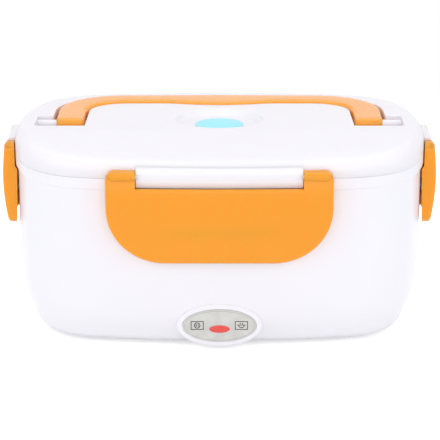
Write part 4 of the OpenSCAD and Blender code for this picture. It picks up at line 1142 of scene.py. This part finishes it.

# %% [markdown]
# ## Feet and screws
# Four feet and four screws are the same piece placed at four points, so Geometry Nodes place them: the
# piece is turned once, instanced on the points, and made real.


# %% Placing tree
def placing_tree():
    tree = bpy.data.node_groups.new("place at four corners", "GeometryNodeTree")
    sockets = (("Geometry", "Geometry"), ("Spread X", "Float"), ("Spread Y", "Float"), ("Finish", "Material"))
    for name, kind in sockets:
        tree.interface.new_socket(name, in_out="INPUT", socket_type="NodeSocket" + kind)
    tree.interface.new_socket("Geometry", in_out="OUTPUT", socket_type="NodeSocketGeometry")
    inputs, outputs = tree.nodes.new("NodeGroupInput"), tree.nodes.new("NodeGroupOutput")
    grid = tree.nodes.new("GeometryNodeMeshGrid")
    grid.inputs["Vertices X"].default_value = 2
    grid.inputs["Vertices Y"].default_value = 2
    place = tree.nodes.new("GeometryNodeInstanceOnPoints")
    real = tree.nodes.new("GeometryNodeRealizeInstances")
    paint = tree.nodes.new("GeometryNodeSetMaterial")
    link = tree.links.new
    link(inputs.outputs["Spread X"], grid.inputs["Size X"])
    link(inputs.outputs["Spread Y"], grid.inputs["Size Y"])
    link(grid.outputs["Mesh"], place.inputs["Points"])
    link(inputs.outputs["Geometry"], place.inputs["Instance"])
    link(place.outputs["Instances"], real.inputs["Geometry"])
    link(real.outputs["Geometry"], paint.inputs["Geometry"])
    link(inputs.outputs["Finish"], paint.inputs["Material"])
    link(paint.outputs["Geometry"], outputs.inputs["Geometry"])
    return tree


four_corners = placing_tree()


def place_four(obj, spread_x, spread_y, material):
    modifier = obj.modifiers.new("place", "NODES")
    modifier.node_group = four_corners
    sockets = [item for item in four_corners.interface.items_tree if item.in_out == "INPUT"]
    names = {item.name: item.identifier for item in sockets}
    modifier[names["Spread X"]] = spread_x * MM
    modifier[names["Spread Y"]] = spread_y * MM
    modifier[names["Finish"]] = material
    settle(obj)
    soften(obj, 40)


# %% Feet and cover screws
FOOT_SPREAD, SCREW_SPREAD = (160, 68), (104, 92)
foot_profile = [(0.01, 0.0), (3.4, 0.0), (3.8, 0.25), (4.3, 0.25), (4.7, 0.0), (5.5, 0.0), (5.9, 0.4)]
foot_profile += [(6.0, 0.9), (6.0, 2.6), (0.01, 2.6)]
feet = turned("rubber_pads", foot_profile, black_rubber)
place_four(feet, *FOOT_SPREAD, black_rubber)
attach(feet, "base")
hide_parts("rubber_feet")
SCREW_LOW, HEAD_R, HEAD_H, SHANK_R, SCREW_END, THREAD, THREAD_DEEP = 1.4, 2.9, 1.6, 1.5, 13.0, 0.8, 0.28
head_end = SCREW_LOW + HEAD_H
screw_profile = [(0.01, SCREW_LOW), (1.9, SCREW_LOW), (2.4, SCREW_LOW + 0.06), (2.75, SCREW_LOW + 0.25),
                 (HEAD_R, SCREW_LOW + 0.6), (HEAD_R, head_end), (SHANK_R, head_end)]
for z in np.arange(head_end + 0.5, SCREW_END - 0.8, THREAD):
    screw_profile += [(SHANK_R, z), (SHANK_R - THREAD_DEEP, z + THREAD / 2)]
screw_profile += [(1.0, SCREW_END - 0.4), (0.01, SCREW_END)]
screws = turned("cover_screw_set", screw_profile, screw_steel, steps=32)
for width, depth in ((0.8, 3.4), (3.4, 0.8)):
    cut(screws, block((-width / 2, -depth / 2, 0), (width / 2, depth / 2, SCREW_LOW + 0.7)))
place_four(screws, *SCREW_SPREAD, screw_steel)
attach(screws, "base")
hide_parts("cover_screws")
print("feet placed:", [round(v, 3) for v in feet.dimensions])
print("screws placed:", [round(v, 3) for v in screws.dimensions])

# %% [markdown]
# ## Carried-over CAD pieces
# Inner pieces keep their CAD shape and only get their finish.

# %% Finishes of the CAD pieces
CAD_FINISH = {
    "bottom_cover": white_matt,
    "heating_plate": plate_aluminium,
    "plate_gasket": red_silicone,
    "ceramic_heater": ceramic,
    "heater_clamp": sheet_steel,
    "clamp_screws": screw_steel,
    "thermal_fuse": ceramic,
    "power_inlet": white_matt,
    "inlet_pins": pin_brass,
    "indicator_lamp": lamp_tint,
    "wires": wire_red,
    "lid_liner": white_matt,
    "lid_gasket": red_silicone,
}
for cad_name, material in CAD_FINISH.items():
    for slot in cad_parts[cad_name].material_slots:
        slot.material = material
print("CAD pieces finished:", len(CAD_FINISH))

# %% [markdown]
# ## Floor, world and lamps
# The photograph is a bright studio picture on white. The floor is pale and shows white to the camera, but
# it still takes the box's shadow. Large soft lamps above, in front and at the sides give the even light.

# %% Stage
WHITE = (1, 1, 1, 1)
FLOOR_HALF, FLOOR_LOW = 6.0, -0.0001
floor_mesh = bpy.data.meshes.new("studio_floor")
floor_ring = [(x * FLOOR_HALF, y * FLOOR_HALF) for x, y in ((-1, -1), (1, -1), (1, 1), (-1, 1))]
floor_mesh.from_pydata(at_height(floor_ring, FLOOR_LOW), [], [(0, 1, 2, 3)])
studio_floor = add_object("studio_floor", floor_mesh)


# %% Which rays see the floor and the walls
def seen_by(tree, *rays):
    """1 for the named kinds of ray and 0 for all others."""
    path = node(tree, "LightPath", {}).outputs
    seen = path[rays[0]]
    for ray in rays[1:]:
        seen = node(tree, "Math", {0: seen, 1: path[ray]}, operation="MAXIMUM").outputs["Value"]
    return seen


def either(tree, factor, first, second):
    """Shader that goes from the first to the second one with the factor."""
    return node(tree, "MixShader", {"Fac": factor, 1: first, 2: second}).outputs["Shader"]


# %% Floor finish
FLOOR_GLOW = 0.5  # lifts the floor to white for the camera near the box, and leaves the shadow
FADE_FROM, FADE_TO = 0.2, 0.6  # distance from the box, in metres, over which it turns plain white
floor_finish = bpy.data.materials.new("studio floor")
floor_finish.use_nodes = True
tree = floor_finish.node_tree
seen = seen_by(tree, "Is Camera Ray", "Is Glossy Ray")
paint = feed(tree, tree.nodes["Principled BSDF"], {"Base Color": (0.9, 0.9, 0.9, 1), "Roughness": 0.9})
lift = node(tree, "Math", {0: seen, 1: FLOOR_GLOW}, operation="MULTIPLY")
glow = node(tree, "Emission", {"Color": WHITE, "Strength": lift.outputs["Value"]})
near = node(tree, "AddShader", {0: paint.outputs["BSDF"], 1: glow.outputs["Emission"]})
spot = node(tree, "TexCoord", {}).outputs["Object"]
distance = node(tree, "VectorMath", {0: spot}, operation="LENGTH")
fade_range = {"Value": distance.outputs["Value"], "From Min": FADE_FROM, "From Max": FADE_TO}
fade = node(tree, "MapRange", fade_range, interpolation_type="SMOOTHSTEP")
far = node(tree, "Math", {0: fade.outputs["Result"], 1: seen}, operation="MULTIPLY")
white = node(tree, "Emission", {"Color": WHITE, "Strength": 1.0})
surface = either(tree, far.outputs["Value"], near.outputs["Shader"], white.outputs["Emission"])
feed(tree, tree.nodes["Material Output"], {"Surface": surface})
floor_mesh.materials.append(floor_finish)

# %% World
world = bpy.data.worlds.new("studio")
bpy.context.scene.world = world
world.use_nodes = True
tree = world.node_tree
seen = seen_by(tree, "Is Camera Ray", "Is Glossy Ray", "Is Transmission Ray")
room_light = feed(tree, tree.nodes["Background"], {"Color": (0.94, 0.96, 1.0, 1), "Strength": 0.65})
white_wall = node(tree, "Background", {"Color": WHITE, "Strength": 1.0})
surface = either(tree, seen, room_light.outputs["Background"], white_wall.outputs["Background"])
feed(tree, tree.nodes["World Output"], {"Surface": surface})


# %% Lamps
def lamp(name, place, size, power, aim=(0, 0, 0.05)):
    data = bpy.data.lights.new(name, "AREA")
    data.shape = "RECTANGLE"
    data.size, data.size_y = size
    data.energy = power
    obj = add_object(name, data)
    obj.location = place
    obj.rotation_euler = (Vector(aim) - Vector(place)).to_track_quat("-Z", "Y").to_euler()


lamp("overhead", (0, 0.1, 1.3), (1.4, 1.2), 5.8)
lamp("front_fill", (0, -1.5, 0.55), (1.6, 0.9), 5.9)
lamp("left_wall", (-1.1, -0.5, 0.5), (0.9, 0.9), 2.2)
lamp("right_wall", (1.1, -0.5, 0.5), (0.9, 0.9), 2.2)
bpy.context.scene.view_settings.view_transform = "Standard"
print("lamps:", len(bpy.data.lights))
